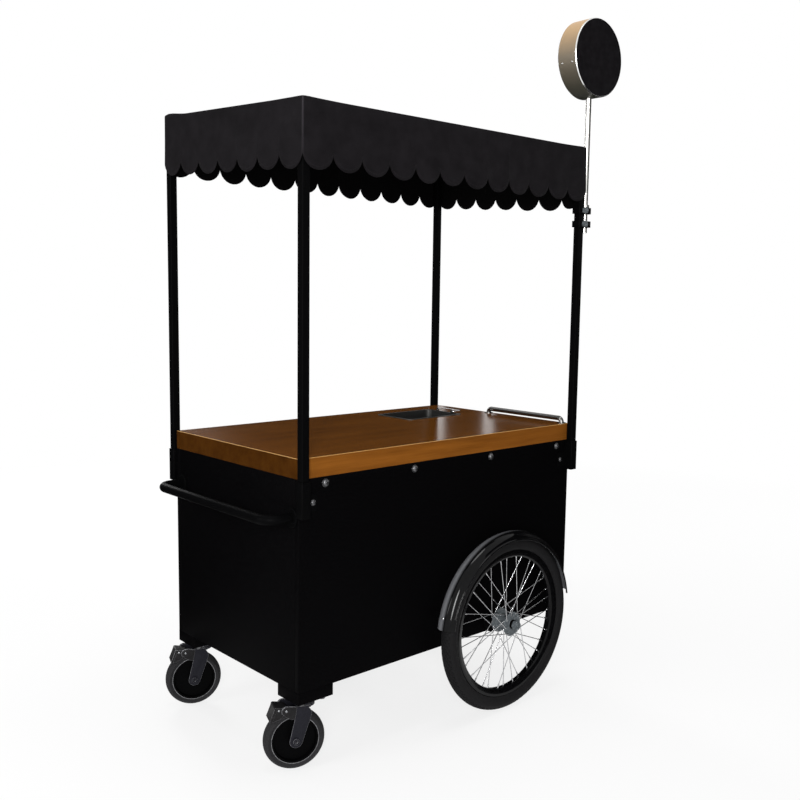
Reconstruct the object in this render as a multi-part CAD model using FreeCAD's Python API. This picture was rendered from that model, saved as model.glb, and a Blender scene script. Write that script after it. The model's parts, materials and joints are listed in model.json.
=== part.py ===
import FreeCAD, Part
import math
import os

from FreeCAD import Vector

# Bottle service cart: a panel cabinet with a thick worktop, rolling on two spoked
# wheels and two braked swivel casters, under a pitched cloth canopy on four posts.
# Millimetres, +Z up, floor at z = 0. Guests stand at -Y, the server at +Y.

# Clearances
SEAT = 0.3            # between pieces that only rest near each other
RUN = 0.05            # radial, on pins and shafts that turn
FIT = 0.1             # radial, on bolts in their holes

# Worktop and cabinet
WORKTOP_LENGTH = 1240.0
WORKTOP_DEPTH = 700.0
WORKTOP_HEIGHT = 960.0
WORKTOP_THICKNESS = 60.0
WORKTOP_ARRIS = 2.5
CABINET_BOTTOM = 260.0
PANEL = 18.0
SHELF_DROP = 325.0    # shelf's top below the worktop's underside
SHELF_GROOVE = 6.0

# Rear board: a service opening beside the wheel, closed by a sliding door
FRAME_STILE = 50.0
FRAME_SILL = 85.0
FRAME_HEAD = 50.0
FRAME_CORNER = 15.0
OPENING_TO_FENDER = 30.0
DOOR = 10.0
DOOR_OVERLAP = 20.0
DOOR_END_GAP = 4.0
TRACK_WALL = 2.0
TRACK_BASE = 4.0
TRACK_PLAY = 0.5
TRACK_STOP = 20.0
SILL_GROOVE = 10.0
HEAD_GROOVE = 18.0
DOOR_LIFT = 6.0
PULL_DIAMETER = 50.0
PULL_INSET = 60.0
PULL_WALL = 1.2
PULL_LIP = 4.0
PULL_DEPTH = 8.5
PULL_ROOM = 10.0      # left in the opening beside the pull when the door is open

# Ice well let into the worktop, with a lift-out strainer and a drop handle
WELL_X = 337.0
WELL_Y = 160.0
WELL_LENGTH = 264.0
WELL_WIDTH = 174.0
WELL_DEPTH = 150.0
WELL_WALL = 1.5
WELL_CORNER = 25.0
WELL_FLANGE = 12.0
CUT_CLEARANCE = 2.0
DRAIN_DIAMETER = 32.0
DRAIN_LENGTH = 45.0
STRAINER_HEIGHT = 28.0
STRAINER_GAP = 2.0
STRAINER_HOLE = 12.0
STRAINER_ROWS = 4
STRAINER_COLUMNS = 7
HANDLE_WIRE = 6.0
HANDLE_WIDTH = 96.0
HANDLE_REACH = 42.0
HANDLE_BEND = 5.0
EAR_THICKNESS = 6.0
EAR_LENGTH = 10.0
EAR_HEIGHT = 10.0
EAR_INSET = 8.0

# Gallery rail on the right-hand end of the worktop
RAIL_DIAMETER = 18.0
RAIL_WALL = 1.5
RAIL_TOP = 26.0
RAIL_INSET = 20.0
RAIL_FRONT_INSET = 20.0
RAIL_LENGTH = 365.0
RAIL_BEND = 14.0
RAIL_FOOT_DIAMETER = 34.0
RAIL_FOOT = 2.0

# Posts, their sockets and the canopy frame
POST = 25.0
POST_WALL = 2.0
POST_END_INSET = 4.0
SOCKET_WALL = 3.0
SOCKET_LENGTH = 106.0
SOCKET_TOP_GAP = 4.0
EAR_REACH = 62.0
EAR_TALL = 52.0
EAR_CORNER = 10.0
CANOPY_FRONT = 1960.0
CANOPY_PITCH = 40.0
CANOPY_BAR = 20.0
CANOPY_BAR_WALL = 1.5
CLOTH = 2.0
CLOTH_GAP = 1.0
VALANCE_DROP = 150.0
SCALLOP_DEPTH = 46.0
FRONT_SCALLOPS = 12
END_SCALLOPS = 7

# Dome-head bolts
TOP_BOLTS = 4
TOP_BOLT_START = 96.0   # first bolt, from the left-hand end
TOP_BOLT_END = 70.0     # last bolt, from the right-hand end
TOP_BOLT_DROP = 20.0
TOP_BOLT_HEAD = 22.0
SOCKET_BOLT_INSET = 45.0
SOCKET_BOLT_DROP = 72.0
SOCKET_BOLT_HEAD = 16.0
DOME_HEIGHT = 0.36
BOLT_SHANK = 8.0
BOLT_SHORT = 2.0

# Push handle on the left-hand end
GRIP_DIAMETER = 30.0
GRIP_WALL = 2.0
GRIP_REACH = 85.0
GRIP_HEIGHT = 785.0
GRIP_EDGE = 4.0
GRIP_BEND = 42.0
GRIP_FOOT_DIAMETER = 62.0
GRIP_FOOT = 6.0

# Swivel casters
BLOCK_LENGTH = 128.0
BLOCK_WIDTH = 106.0
BLOCK_HEIGHT = 36.0
PLATE_LENGTH = 104.0
PLATE_WIDTH = 88.0
PLATE = 5.0
PLATE_BOLT_INSET = 13.0
PLATE_BOLT = 10.0
PLATE_BOLT_FLATS = 17.0
PLATE_BOLT_HEAD = 6.0
PLATE_BOLT_LENGTH = 26.0
RACE_DIAMETER = 62.0
RACE_HEIGHT = 9.0
RACE_CHAMFER = 4.0
KINGPIN = 14.0
KINGPIN_NUT = 24.0
KINGPIN_NUT_HEIGHT = 5.0
CASTER_WHEEL = 190.0
CASTER_TREAD = 46.0
CASTER_SIDEWALL = 12.0
CASTER_CORE = 146.0
CORE_INSET = 4.0      # core narrower than the tread, each side
CORE_RIM = 6.5
CORE_RIM_FLARE = 2.5
CORE_WEB = 19.0
CORE_HUB = 36.0
CASTER_TRAIL = 36.0
CASTER_HEADING = 158.0
FORK_GAP = 3.0
FORK_LEG = 5.0
FORK_SHOULDER = 24.0
FORK_LEAN = 12.0
FORK_STEP = 1.5
FORK_CROWN_LENGTH = 42.0
FORK_HEAD = 56.0
FORK_HEAD_HEIGHT = 6.0
FORK_CROWN = 6.0
FORK_END = 20.0
CASTER_AXLE = 12.0
CASTER_AXLE_HEAD = 20.0
CASTER_AXLE_HEAD_HEIGHT = 4.0
CASTER_AXLE_SOCKET = 9.0
CASTER_AXLE_SOCKET_DEPTH = 5.0
PEDAL_PIN = 6.0
PEDAL_PIVOT_OUT = 66.0
PEDAL_PIVOT_DROP = 9.5
PEDAL_KNEE_OUT = 30.0
PEDAL_KNEE_RISE = 7.0
PEDAL_LENGTH = 45.0
PEDAL_FALL = 30.0
PEDAL_ROOT = 6.5
PEDAL_KNEE = 5.0
PEDAL_TIP = 4.0
PEDAL_EAR = 15.0

# Spoked wheels on a through axle
WHEEL_X = 217.0
WHEEL_OUT = 66.0
WHEEL_DIAMETER = 610.0
TYRE_WIDTH = 54.0
TYRE_WALL = 4.5
BEAD_DEPTH = 48.0
RIM_DEPTH = 27.0
RIM_WIDTH = 34.0
RIM_INNER_WIDTH = 22.0
RIM_WALL = 2.5
RIM_FLANK = 11.0
RIM_SHOULDER = 5.5
SPOKES = 36
SPOKE_CROSSES = 3
SPOKE_DIAMETER = 3.0
NIPPLE_DIAMETER = 5.0
NIPPLE_LENGTH = 14.0
RIM_STAGGER = 4.0
HUB_FLANGE = 84.0
HUB_HOLE_CIRCLE = 74.0
HUB_FLANGE_SPACING = 54.0
HUB_FLANGE_THICKNESS = 3.0
HUB_BARREL = 44.0
HUB_FLARE = 2.0
HUB_FLARE_LENGTH = 4.0
HUB_END = 32.0
HUB_NECK = 1.0
HUB_LENGTH = 80.0
AXLE_DIAMETER = 20.0
AXLE_STUB = 5.0
AXLE_NUT_FLATS = 30.0
AXLE_NUT_HEIGHT = 13.0
AXLE_PLATE_DIAMETER = 100.0
AXLE_PLATE = 8.0
AXLE_BOSS_DIAMETER = 40.0

# Fenders over the spoked wheels
FENDER_GAP = 16.0     # crown's outside above the tyre
FENDER_WIDTH = 72.0
FENDER_CROWN = 25.0   # crown's outside above the rolled edges
FENDER_SHEET = 1.6
FENDER_BEAD = 6.0
FENDER_START = 10.0
FENDER_END = 172.0
STAY_ANGLES = (17.0, 91.0, 165.0)
STAY_WIDTH = 20.0
STAY = 3.0
STAY_FOOT = 40.0

# Round sign on a mast clamped beside the right-hand front post
SIGN_DIAMETER = 270.0
SIGN_DEPTH = 80.0
SIGN_HEIGHT = 2272.0
SIGN_WALL = 3.0
SIGN_FACE = 4.0
SIGN_FACE_INSET = 1.5
MAST_DIAMETER = 20.0
MAST_WALL = 2.0
MAST_OFFSET = 34.0
MAST_BOTTOM = 1660.0
MAST_INTO_SIGN = 16.0
COLLAR_DIAMETER = 30.0
COLLAR_HEIGHT = 10.0
CLAMP_START = 30.0    # lower clamp's middle above the mast's foot
CLAMP_PITCH = 48.0
CLAMP_TALL = 22.0
CLAMP_WALL = 6.0
CLAMP_SCREW = 6.0
CLAMP_KNOB = 22.0
CLAMP_KNOB_HEIGHT = 10.0
CLAMP_NECK = 5.0

# Derived places that several pieces share
HALF_LENGTH = WORKTOP_LENGTH / 2
HALF_DEPTH = WORKTOP_DEPTH / 2
CABINET_TOP = WORKTOP_HEIGHT - WORKTOP_THICKNESS
SHELF_Z = CABINET_TOP - SHELF_DROP
INNER_LENGTH = HALF_LENGTH - PANEL
INNER_DEPTH = HALF_DEPTH - PANEL
POST_X = HALF_LENGTH - POST_END_INSET
POST_Y = HALF_DEPTH + SOCKET_WALL + SEAT + POST / 2
SOCKET_TOP = CABINET_TOP - SOCKET_TOP_GAP
SOCKET_BOTTOM = SOCKET_TOP - SOCKET_LENGTH
POST_BOTTOM = SOCKET_BOTTOM + SOCKET_WALL
CLOTH_X = POST_X + POST / 2 + CLOTH_GAP + CLOTH
CLOTH_Y = POST_Y + POST / 2 + CLOTH_GAP + CLOTH
WHEEL_RADIUS = WHEEL_DIAMETER / 2
WHEEL_Y = HALF_DEPTH + WHEEL_OUT
RIM_OUTER = WHEEL_RADIUS - BEAD_DEPTH
RIM_INNER = RIM_OUTER - RIM_DEPTH
FENDER_TOP = WHEEL_RADIUS + FENDER_GAP
OPENING_LEFT = -HALF_LENGTH + FRAME_STILE
OPENING_RIGHT = WHEEL_X - FENDER_TOP - OPENING_TO_FENDER
OPENING_BOTTOM = CABINET_BOTTOM + FRAME_SILL
OPENING_TOP = CABINET_TOP - FRAME_HEAD
CASTER_RADIUS = CASTER_WHEEL / 2
CASTER_X = -HALF_LENGTH + BLOCK_LENGTH / 2
CASTER_Y = HALF_DEPTH - BLOCK_WIDTH / 2
BLOCK_BOTTOM = CABINET_BOTTOM - BLOCK_HEIGHT
CLAMP_HEIGHTS = (MAST_BOTTOM + CLAMP_START, MAST_BOTTOM + CLAMP_START + CLAMP_PITCH)
MAST_X = POST_X + MAST_OFFSET
MAST_Y = -POST_Y
SIDES = (("front", -1), ("rear", 1))
# The origin lies under the middle of the whole cart, push handle and sign included.
CENTRE_X = (MAST_X + SIGN_DIAMETER / 2 - HALF_LENGTH - GRIP_REACH - GRIP_DIAMETER / 2) / 2

X_AXIS = Vector(1, 0, 0)
Y_AXIS = Vector(0, 1, 0)
Z_AXIS = Vector(0, 0, 1)
ORIGIN = Vector(0, 0, 0)


def box(x0, x1, y0, y1, z0, z1):
    return Part.makeBox(x1 - x0, y1 - y0, z1 - z0, Vector(x0, y0, z0))


def rounded_box(x0, x1, y0, y1, z0, z1, radius, axis=Z_AXIS):
    solid = box(x0, x1, y0, y1, z0, z1)
    along = [edge for edge in solid.Edges if abs(edge.tangentAt(0).dot(axis)) > 0.99]
    return solid.makeFillet(radius, along)


def rod(start, end, diameter):
    return Part.makeCylinder(diameter / 2, (end - start).Length, start, end - start)


def join(shapes):
    return shapes[0].multiFuse(shapes[1:]).removeSplitter()


def hexagon(start, end, flats):
    axis = end - start
    corner = flats / math.sqrt(3)
    ring = [Vector(corner * math.cos(math.radians(60 * k)), corner * math.sin(math.radians(60 * k)), 0)
            for k in range(7)]
    prism = Part.Face(Part.makePolygon(ring)).extrude(Vector(0, 0, axis.Length))
    prism.Placement = FreeCAD.Placement(start, FreeCAD.Rotation(Z_AXIS, axis))
    return prism


def turned(points, axis=Y_AXIS):
    """Ring or disc from (radius, along) corners, turned about an axis through the origin."""
    outline = [X_AXIS * radius + axis * along for radius, along in points]
    return Part.Face(Part.makePolygon(outline + outline[:1])).revolve(ORIGIN, axis, 360)


def mirrored(points):
    """Whole (radius, along) outline from the half on the positive side."""
    return points + [(radius, -along) for radius, along in reversed(points)]


def bent_path(points, bend):
    """Straight runs through the points, joined by tangent arcs of one radius."""
    edges = []
    start = points[0]
    for before, corner, after in zip(points, points[1:], points[2:]):
        into = (corner - before).normalize()
        out = (after - corner).normalize()
        turn = into.getAngle(out)
        tangent = bend * math.tan(turn / 2)
        arc_start = corner - into * tangent
        arc_end = corner + out * tangent
        inward = (out - into).normalize()
        middle = corner + inward * (bend / math.cos(turn / 2) - bend)
        edges.append(Part.LineSegment(start, arc_start).toShape())
        edges.append(Part.Arc(arc_start, middle, arc_end).toShape())
        start = arc_end
    edges.append(Part.LineSegment(start, points[-1]).toShape())
    return Part.Wire(edges)


def pipe(path, diameter):
    first = path.Edges[0]
    section = Part.Wire(Part.makeCircle(diameter / 2, first.valueAt(first.FirstParameter),
                                        first.tangentAt(first.FirstParameter)))
    return path.makePipeShell([section], True, False)


def link(p, p_radius, q, q_radius, y0, y1):
    """Flat bar with round ends about two (x, z) centres, from y0 to y1."""
    centre_p = Vector(p[0], y0, p[1])
    centre_q = Vector(q[0], y0, q[1])
    along = centre_q - centre_p
    heading = math.atan2(along.z, along.x)
    spread = math.acos((p_radius - q_radius) / along.Length)

    def rim(centre, radius, angle):
        return centre + Vector(radius * math.cos(angle), 0, radius * math.sin(angle))

    p_left = rim(centre_p, p_radius, heading + spread)
    p_right = rim(centre_p, p_radius, heading - spread)
    q_left = rim(centre_q, q_radius, heading + spread)
    q_right = rim(centre_q, q_radius, heading - spread)
    outline = [
        Part.LineSegment(p_left, q_left),
        Part.Arc(q_left, rim(centre_q, q_radius, heading), q_right),
        Part.LineSegment(q_right, p_right),
        Part.Arc(p_right, rim(centre_p, p_radius, heading + math.pi), p_left),
    ]
    return Part.Face(Part.Wire([edge.toShape() for edge in outline])).extrude(Vector(0, y1 - y0, 0))


def dome_bolt(face, outward, head, grip):
    """Round-head screw: dome on the panel's face, shank as long as its grip."""
    height = head * DOME_HEIGHT
    sphere = (head * head / 4 + height * height) / (2 * height)
    ball = Part.makeSphere(sphere, face - outward * (sphere - height))
    dome = ball.common(rod(face, face + outward * height * 2, head * 2))
    return join([dome, rod(face, face - outward * grip, BOLT_SHANK)])


def save(name, shape):
    placed = shape.copy()
    placed.translate(Vector(-CENTRE_X, 0, 0))
    placed.exportStep(os.path.join("parts", name + ".step"))


def group(name, shapes):
    save(name, Part.makeCompound(shapes))


def top_bolt_places():
    left = -HALF_LENGTH + TOP_BOLT_START
    pitch = (HALF_LENGTH - TOP_BOLT_END - left) / (TOP_BOLTS - 1)
    return [(left + pitch * k, CABINET_TOP - TOP_BOLT_DROP) for k in range(TOP_BOLTS)]


def socket_bolt_places():
    x = POST_X - SOCKET_BOLT_INSET
    return [(-x, CABINET_TOP - SOCKET_BOLT_DROP), (x, CABINET_TOP - SOCKET_BOLT_DROP)]


def panel_holes(y0, y1, places):
    holes = [rod(Vector(x, y0, z), Vector(x, y1, z), BOLT_SHANK + 2 * FIT) for x, z in places]
    axle = rod(Vector(WHEEL_X, y0, WHEEL_RADIUS), Vector(WHEEL_X, y1, WHEEL_RADIUS),
               AXLE_DIAMETER + 2 * FIT)
    return holes + [axle]


def make_cabinet():
    front = box(-HALF_LENGTH, HALF_LENGTH, -HALF_DEPTH, -INNER_DEPTH, CABINET_BOTTOM, CABINET_TOP)
    front_places = top_bolt_places() + socket_bolt_places()
    save("front_panel", front.cut(panel_holes(-HALF_DEPTH, -INNER_DEPTH, front_places)))

    shelf_bottom = SHELF_Z - PANEL
    for name, side in (("left_panel", -1), ("right_panel", 1)):
        inner, outer = sorted((side * INNER_LENGTH, side * HALF_LENGTH))
        panel = box(inner, outer, -INNER_DEPTH, INNER_DEPTH, CABINET_BOTTOM, CABINET_TOP)
        inside = side * INNER_LENGTH
        groove_x = sorted((inside, inside + side * (SHELF_GROOVE + SEAT)))
        groove = box(*groove_x, -INNER_DEPTH, track_inner_y() - SEAT, shelf_bottom, SHELF_Z + SEAT)
        save(name, panel.cut(groove))
    save("floor_panel", box(-INNER_LENGTH, INNER_LENGTH, -INNER_DEPTH, INNER_DEPTH,
                            CABINET_BOTTOM, CABINET_BOTTOM + PANEL))
    shelf_half = INNER_LENGTH + SHELF_GROOVE
    save("shelf", box(-shelf_half, shelf_half, -INNER_DEPTH, track_inner_y() - 2 * SEAT,
                      shelf_bottom, SHELF_Z))

    rear = box(-HALF_LENGTH, HALF_LENGTH, INNER_DEPTH, HALF_DEPTH, CABINET_BOTTOM, CABINET_TOP)
    opening = rounded_box(OPENING_LEFT, OPENING_RIGHT, INNER_DEPTH, HALF_DEPTH,
                          OPENING_BOTTOM, OPENING_TOP, FRAME_CORNER, Y_AXIS)
    rear_places = socket_bolt_places()
    save("rear_frame", rear.cut([opening] + panel_holes(INNER_DEPTH, HALF_DEPTH, rear_places)))


def groove_width():
    return DOOR + 2 * TRACK_PLAY


def track_inner_y():
    return INNER_DEPTH - 2 * TRACK_WALL - groove_width()


def make_door():
    left = -INNER_LENGTH + DOOR_END_GAP
    right = OPENING_RIGHT + DOOR_OVERLAP
    pull_x = OPENING_LEFT + PULL_INSET
    pull_z = (OPENING_BOTTOM + OPENING_TOP) / 2
    travel = OPENING_RIGHT - PULL_ROOM - PULL_LIP - PULL_DIAMETER / 2 - pull_x
    groove_end = right + travel + SEAT
    groove_y = track_inner_y() + TRACK_WALL

    sill_base = OPENING_BOTTOM - SILL_GROOVE - TRACK_BASE
    head_top = OPENING_TOP + HEAD_GROOVE + TRACK_BASE
    tracks = []
    for z0, z1, groove_z0, groove_z1 in (
            (sill_base, OPENING_BOTTOM, sill_base + TRACK_BASE, OPENING_BOTTOM),
            (OPENING_TOP, head_top, OPENING_TOP, head_top - TRACK_BASE)):
        track = box(-INNER_LENGTH, groove_end + TRACK_STOP, track_inner_y(), INNER_DEPTH, z0, z1)
        groove = box(-INNER_LENGTH, groove_end, groove_y, groove_y + groove_width(), groove_z0, groove_z1)
        tracks.append(track.cut(groove))
    group("door_tracks", tracks)

    inner = groove_y + TRACK_PLAY
    outer = inner + DOOR
    bottom = sill_base + TRACK_BASE + SEAT
    top = head_top - TRACK_BASE - DOOR_LIFT
    bore = rod(Vector(pull_x, inner, pull_z), Vector(pull_x, outer, pull_z), PULL_DIAMETER)
    save("service_door", box(left, right, inner, outer, bottom, top).cut(bore))
    radius = PULL_DIAMETER / 2 - FIT
    cup = turned([(0, -PULL_DEPTH), (radius, -PULL_DEPTH), (radius, 0), (radius + PULL_LIP, 0),
                  (radius + PULL_LIP, PULL_WALL), (radius - PULL_WALL, PULL_WALL),
                  (radius - PULL_WALL, PULL_WALL - PULL_DEPTH), (0, PULL_WALL - PULL_DEPTH)])
    cup.translate(Vector(pull_x, outer, pull_z))
    save("door_pull", cup)


def make_worktop():
    slab = box(-HALF_LENGTH, HALF_LENGTH, -HALF_DEPTH, HALF_DEPTH, CABINET_TOP, WORKTOP_HEIGHT)
    rims = [edge for edge in slab.Edges
            if abs(edge.tangentAt(0).z) > 0.99 or edge.CenterOfMass.z > WORKTOP_HEIGHT - WORKTOP_ARRIS]
    slab = slab.makeFillet(WORKTOP_ARRIS, rims)
    half_x = WELL_LENGTH / 2 + CUT_CLEARANCE
    half_y = WELL_WIDTH / 2 + CUT_CLEARANCE
    hole = rounded_box(WELL_X - half_x, WELL_X + half_x, WELL_Y - half_y, WELL_Y + half_y,
                       CABINET_TOP, WORKTOP_HEIGHT, WELL_CORNER + CUT_CLEARANCE)
    save("worktop", slab.cut(hole))


def make_ice_well():
    top = WORKTOP_HEIGHT + WELL_WALL
    bottom = WORKTOP_HEIGHT - WELL_DEPTH

    def pan(grow, z0, z1, corner):
        half_x = WELL_LENGTH / 2 + grow
        half_y = WELL_WIDTH / 2 + grow
        return rounded_box(WELL_X - half_x, WELL_X + half_x, WELL_Y - half_y, WELL_Y + half_y, z0, z1, corner)

    flange = pan(WELL_FLANGE, WORKTOP_HEIGHT, top, WELL_CORNER)
    shell = pan(0, bottom, WORKTOP_HEIGHT, WELL_CORNER)
    hollow = pan(-WELL_WALL, bottom + WELL_WALL, top, WELL_CORNER - WELL_WALL)
    drain_top = Vector(WELL_X, WELL_Y, bottom + WELL_WALL)
    drain_end = Vector(WELL_X, WELL_Y, bottom - DRAIN_LENGTH)
    spigot = rod(drain_top, drain_end, DRAIN_DIAMETER)
    bore = rod(drain_top, drain_end, DRAIN_DIAMETER - 2 * WELL_WALL)
    pivot = handle_pivot()
    ears = []
    for side in (-1, 1):
        y = WELL_Y + side * (HANDLE_WIDTH / 2 - EAR_INSET)
        ears.append(box(pivot.x - EAR_LENGTH / 2, pivot.x + EAR_LENGTH / 2,
                        y - EAR_THICKNESS / 2, y + EAR_THICKNESS / 2, top, top + EAR_HEIGHT))
    pin = rod(pivot - Y_AXIS * HANDLE_WIDTH, pivot + Y_AXIS * HANDLE_WIDTH, HANDLE_WIRE + 2 * RUN)
    save("ice_well", join([flange, shell, spigot] + [ear.cut(pin) for ear in ears]).cut([hollow, bore]))

    plate_z = bottom + WELL_WALL + STRAINER_HEIGHT
    grow = -WELL_WALL - STRAINER_GAP
    corner = WELL_CORNER - WELL_WALL - STRAINER_GAP
    plate = pan(grow, plate_z - WELL_WALL, plate_z, corner)
    skirt = pan(grow, bottom + WELL_WALL, plate_z - WELL_WALL, corner)
    skirt = skirt.cut(pan(grow - WELL_WALL, bottom + WELL_WALL, plate_z - WELL_WALL, corner - WELL_WALL))
    pitch_x = (WELL_LENGTH - 2 * WELL_CORNER) / STRAINER_COLUMNS
    pitch_y = (WELL_WIDTH - 2 * WELL_CORNER) / STRAINER_ROWS
    holes = []
    for column in range(STRAINER_COLUMNS):
        for row in range(STRAINER_ROWS):
            x = WELL_X + pitch_x * (column - (STRAINER_COLUMNS - 1) / 2)
            y = WELL_Y + pitch_y * (row - (STRAINER_ROWS - 1) / 2)
            holes.append(rod(Vector(x, y, plate_z - WELL_WALL), Vector(x, y, plate_z), STRAINER_HOLE))
    save("well_strainer", join([plate.cut(holes), skirt]))

    half = HANDLE_WIDTH / 2
    inner = half - EAR_INSET - EAR_THICKNESS
    points = [Vector(0, inner, 0), Vector(0, half, 0), Vector(HANDLE_REACH, half, 0),
              Vector(HANDLE_REACH, -half, 0), Vector(0, -half, 0), Vector(0, -inner, 0)]
    save("well_handle", pipe(bent_path([pivot + point for point in points], HANDLE_BEND), HANDLE_WIRE))


def handle_pivot():
    """Hinge line of the drop handle, on the flange at the well's right-hand end."""
    x = WELL_X + WELL_LENGTH / 2 + WELL_FLANGE / 2
    return Vector(x, WELL_Y, WORKTOP_HEIGHT + WELL_WALL + EAR_HEIGHT / 2)


def make_gallery_rail():
    x = HALF_LENGTH - RAIL_INSET
    front = -HALF_DEPTH + RAIL_FRONT_INSET
    centre_z = WORKTOP_HEIGHT + RAIL_TOP - RAIL_DIAMETER / 2
    ends = [Vector(x, front, WORKTOP_HEIGHT), Vector(x, front + RAIL_LENGTH, WORKTOP_HEIGHT)]
    corners = [Vector(end.x, end.y, centre_z) for end in ends]
    path = bent_path([ends[0], corners[0], corners[1], ends[1]], RAIL_BEND)
    feet = [rod(end, end + Z_AXIS * RAIL_FOOT, RAIL_FOOT_DIAMETER) for end in ends]
    rail = join([pipe(path, RAIL_DIAMETER)] + feet)
    save("gallery_rail", rail.cut(pipe(path, RAIL_DIAMETER - 2 * RAIL_WALL)))


def make_bolts():
    bolts = []
    for x, z in top_bolt_places():
        bolts.append(dome_bolt(Vector(x, -HALF_DEPTH, z), -Y_AXIS, TOP_BOLT_HEAD, PANEL - BOLT_SHORT))
    for side in (-1, 1):
        for x, z in socket_bolt_places():
            face = Vector(x, side * (HALF_DEPTH + SOCKET_WALL), z)
            bolts.append(dome_bolt(face, Y_AXIS * side, SOCKET_BOLT_HEAD,
                                   PANEL + SOCKET_WALL - BOLT_SHORT))
    for name, side in SIDES:
        for x, y in plate_bolt_places(side):
            top = Vector(x, y, BLOCK_BOTTOM - PLATE)
            head = hexagon(top - Z_AXIS * PLATE_BOLT_HEAD, top, PLATE_BOLT_FLATS)
            bolts.append(join([head, rod(top, top + Z_AXIS * PLATE_BOLT_LENGTH, PLATE_BOLT)]))
    group("cabinet_bolts", bolts)


def make_posts():
    sockets = []
    outer = POST / 2 + SEAT + SOCKET_WALL
    hole = POST / 2 + SEAT
    for end, x_side in (("left", -1), ("right", 1)):
        for name, side in SIDES:
            x = x_side * POST_X
            y = side * POST_Y
            tube = rounded_box(x - outer, x + outer, y - outer, y + outer,
                               SOCKET_BOTTOM, SOCKET_TOP, SOCKET_WALL)
            ear_x = sorted((x, x - x_side * EAR_REACH))
            ear_y = sorted((side * HALF_DEPTH, side * (HALF_DEPTH + SOCKET_WALL)))
            ear_z = CABINET_TOP - SOCKET_BOLT_DROP
            ear = rounded_box(*ear_x, *ear_y, ear_z - EAR_TALL / 2, ear_z + EAR_TALL / 2, EAR_CORNER, Y_AXIS)
            cavity = box(x - hole, x + hole, y - hole, y + hole, POST_BOTTOM, SOCKET_TOP)
            bolt_x = x - x_side * SOCKET_BOLT_INSET
            bolt = rod(Vector(bolt_x, ear_y[0], ear_z), Vector(bolt_x, ear_y[1], ear_z), BOLT_SHANK + 2 * FIT)
            sockets.append(join([tube, ear]).cut([cavity, bolt]))

            half = POST / 2
            core = half - POST_WALL
            top = post_top(side)
            tube = rounded_box(x - half, x + half, y - half, y + half, POST_BOTTOM, top, POST_WALL)
            bore = box(x - core, x + core, y - core, y + core, POST_BOTTOM, top - POST_WALL)
            save("post_" + name + "_" + end, tube.cut(bore))
    group("post_sockets", sockets)


def roof_top(y):
    return CANOPY_FRONT + CANOPY_PITCH * (y + CLOTH_Y) / (2 * CLOTH_Y)


def post_top(side):
    """Posts stop just under the cloth at the lower edge of their square top."""
    return roof_top(side * POST_Y - POST / 2) - CLOTH - SEAT


def sloped_bar(x, y0, y1, top0, top1):
    def profile(shrink):
        corners = [Vector(x - CANOPY_BAR / 2 + shrink, y0, top0 - CANOPY_BAR + shrink),
                   Vector(x - CANOPY_BAR / 2 + shrink, y1, top1 - CANOPY_BAR + shrink),
                   Vector(x - CANOPY_BAR / 2 + shrink, y1, top1 - shrink),
                   Vector(x - CANOPY_BAR / 2 + shrink, y0, top0 - shrink)]
        return Part.Face(Part.makePolygon(corners + corners[:1])).extrude(X_AXIS * (CANOPY_BAR - 2 * shrink))
    return profile(0).cut(profile(CANOPY_BAR_WALL))


def make_canopy_frame():
    bars = []
    half = CANOPY_BAR / 2
    for name, side in SIDES:
        y = side * POST_Y
        reach = POST_X - POST / 2
        top = post_top(side)
        core = half - CANOPY_BAR_WALL
        bar = box(-reach, reach, y - half, y + half, top - CANOPY_BAR, top)
        bore = box(-reach, reach, y - core, y + core, top - half - core, top - half + core)
        bars.append(bar.cut(bore))
    end_y = POST_Y - POST / 2
    front_z, rear_z = post_top(-1), post_top(1)
    for x in (-POST_X, POST_X):
        bars.append(sloped_bar(x, -end_y, end_y, front_z, rear_z))
    bow_y = POST_Y - half
    bars.append(sloped_bar(0, -bow_y, bow_y, front_z, rear_z))
    group("canopy_rails", bars)


def scalloped(start, end, count, z_start, z_end, drop):
    """Flat cloth outline between two plan points: straight top edge, scalloped hem."""
    def at(share, lower):
        point = start + (end - start) * share
        return Vector(point.x, point.y, z_start + (z_end - z_start) * share - lower)

    edges = [Part.LineSegment(at(0, drop), at(0, 0)), Part.LineSegment(at(0, 0), at(1, 0)),
             Part.LineSegment(at(1, 0), at(1, drop))]
    for k in range(count, 0, -1):
        edges.append(Part.Arc(at(k / count, drop), at((k - 0.5) / count, drop + SCALLOP_DEPTH),
                              at((k - 1) / count, drop)))
    return Part.Face(Part.Wire([edge.toShape() for edge in edges]))


def make_cloth():
    corners = [Vector(-CLOTH_X, -CLOTH_Y, roof_top(-CLOTH_Y)), Vector(-CLOTH_X, CLOTH_Y, roof_top(CLOTH_Y)),
               Vector(-CLOTH_X, CLOTH_Y, roof_top(CLOTH_Y) - CLOTH),
               Vector(-CLOTH_X, -CLOTH_Y, roof_top(-CLOTH_Y) - CLOTH)]
    roof = Part.Face(Part.makePolygon(corners + corners[:1])).extrude(X_AXIS * 2 * CLOTH_X)
    save("canopy_roof", roof)
    drop = VALANCE_DROP - CLOTH
    for name, side in SIDES:
        y = side * CLOTH_Y
        z = roof_top(-CLOTH_Y if side < 0 else CLOTH_Y - CLOTH) - CLOTH
        hem = scalloped(Vector(-CLOTH_X, y, 0), Vector(CLOTH_X, y, 0), FRONT_SCALLOPS, z, z, drop)
        save("valance_" + name, hem.extrude(Y_AXIS * (-side * CLOTH)))
    inner_y = CLOTH_Y - CLOTH
    for name, side in (("left", -1), ("right", 1)):
        x = side * CLOTH_X
        hem = scalloped(Vector(x, -inner_y, 0), Vector(x, inner_y, 0), END_SCALLOPS,
                        roof_top(-inner_y) - CLOTH, roof_top(inner_y) - CLOTH, drop)
        save("valance_" + name, hem.extrude(X_AXIS * (-side * CLOTH)))


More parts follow.
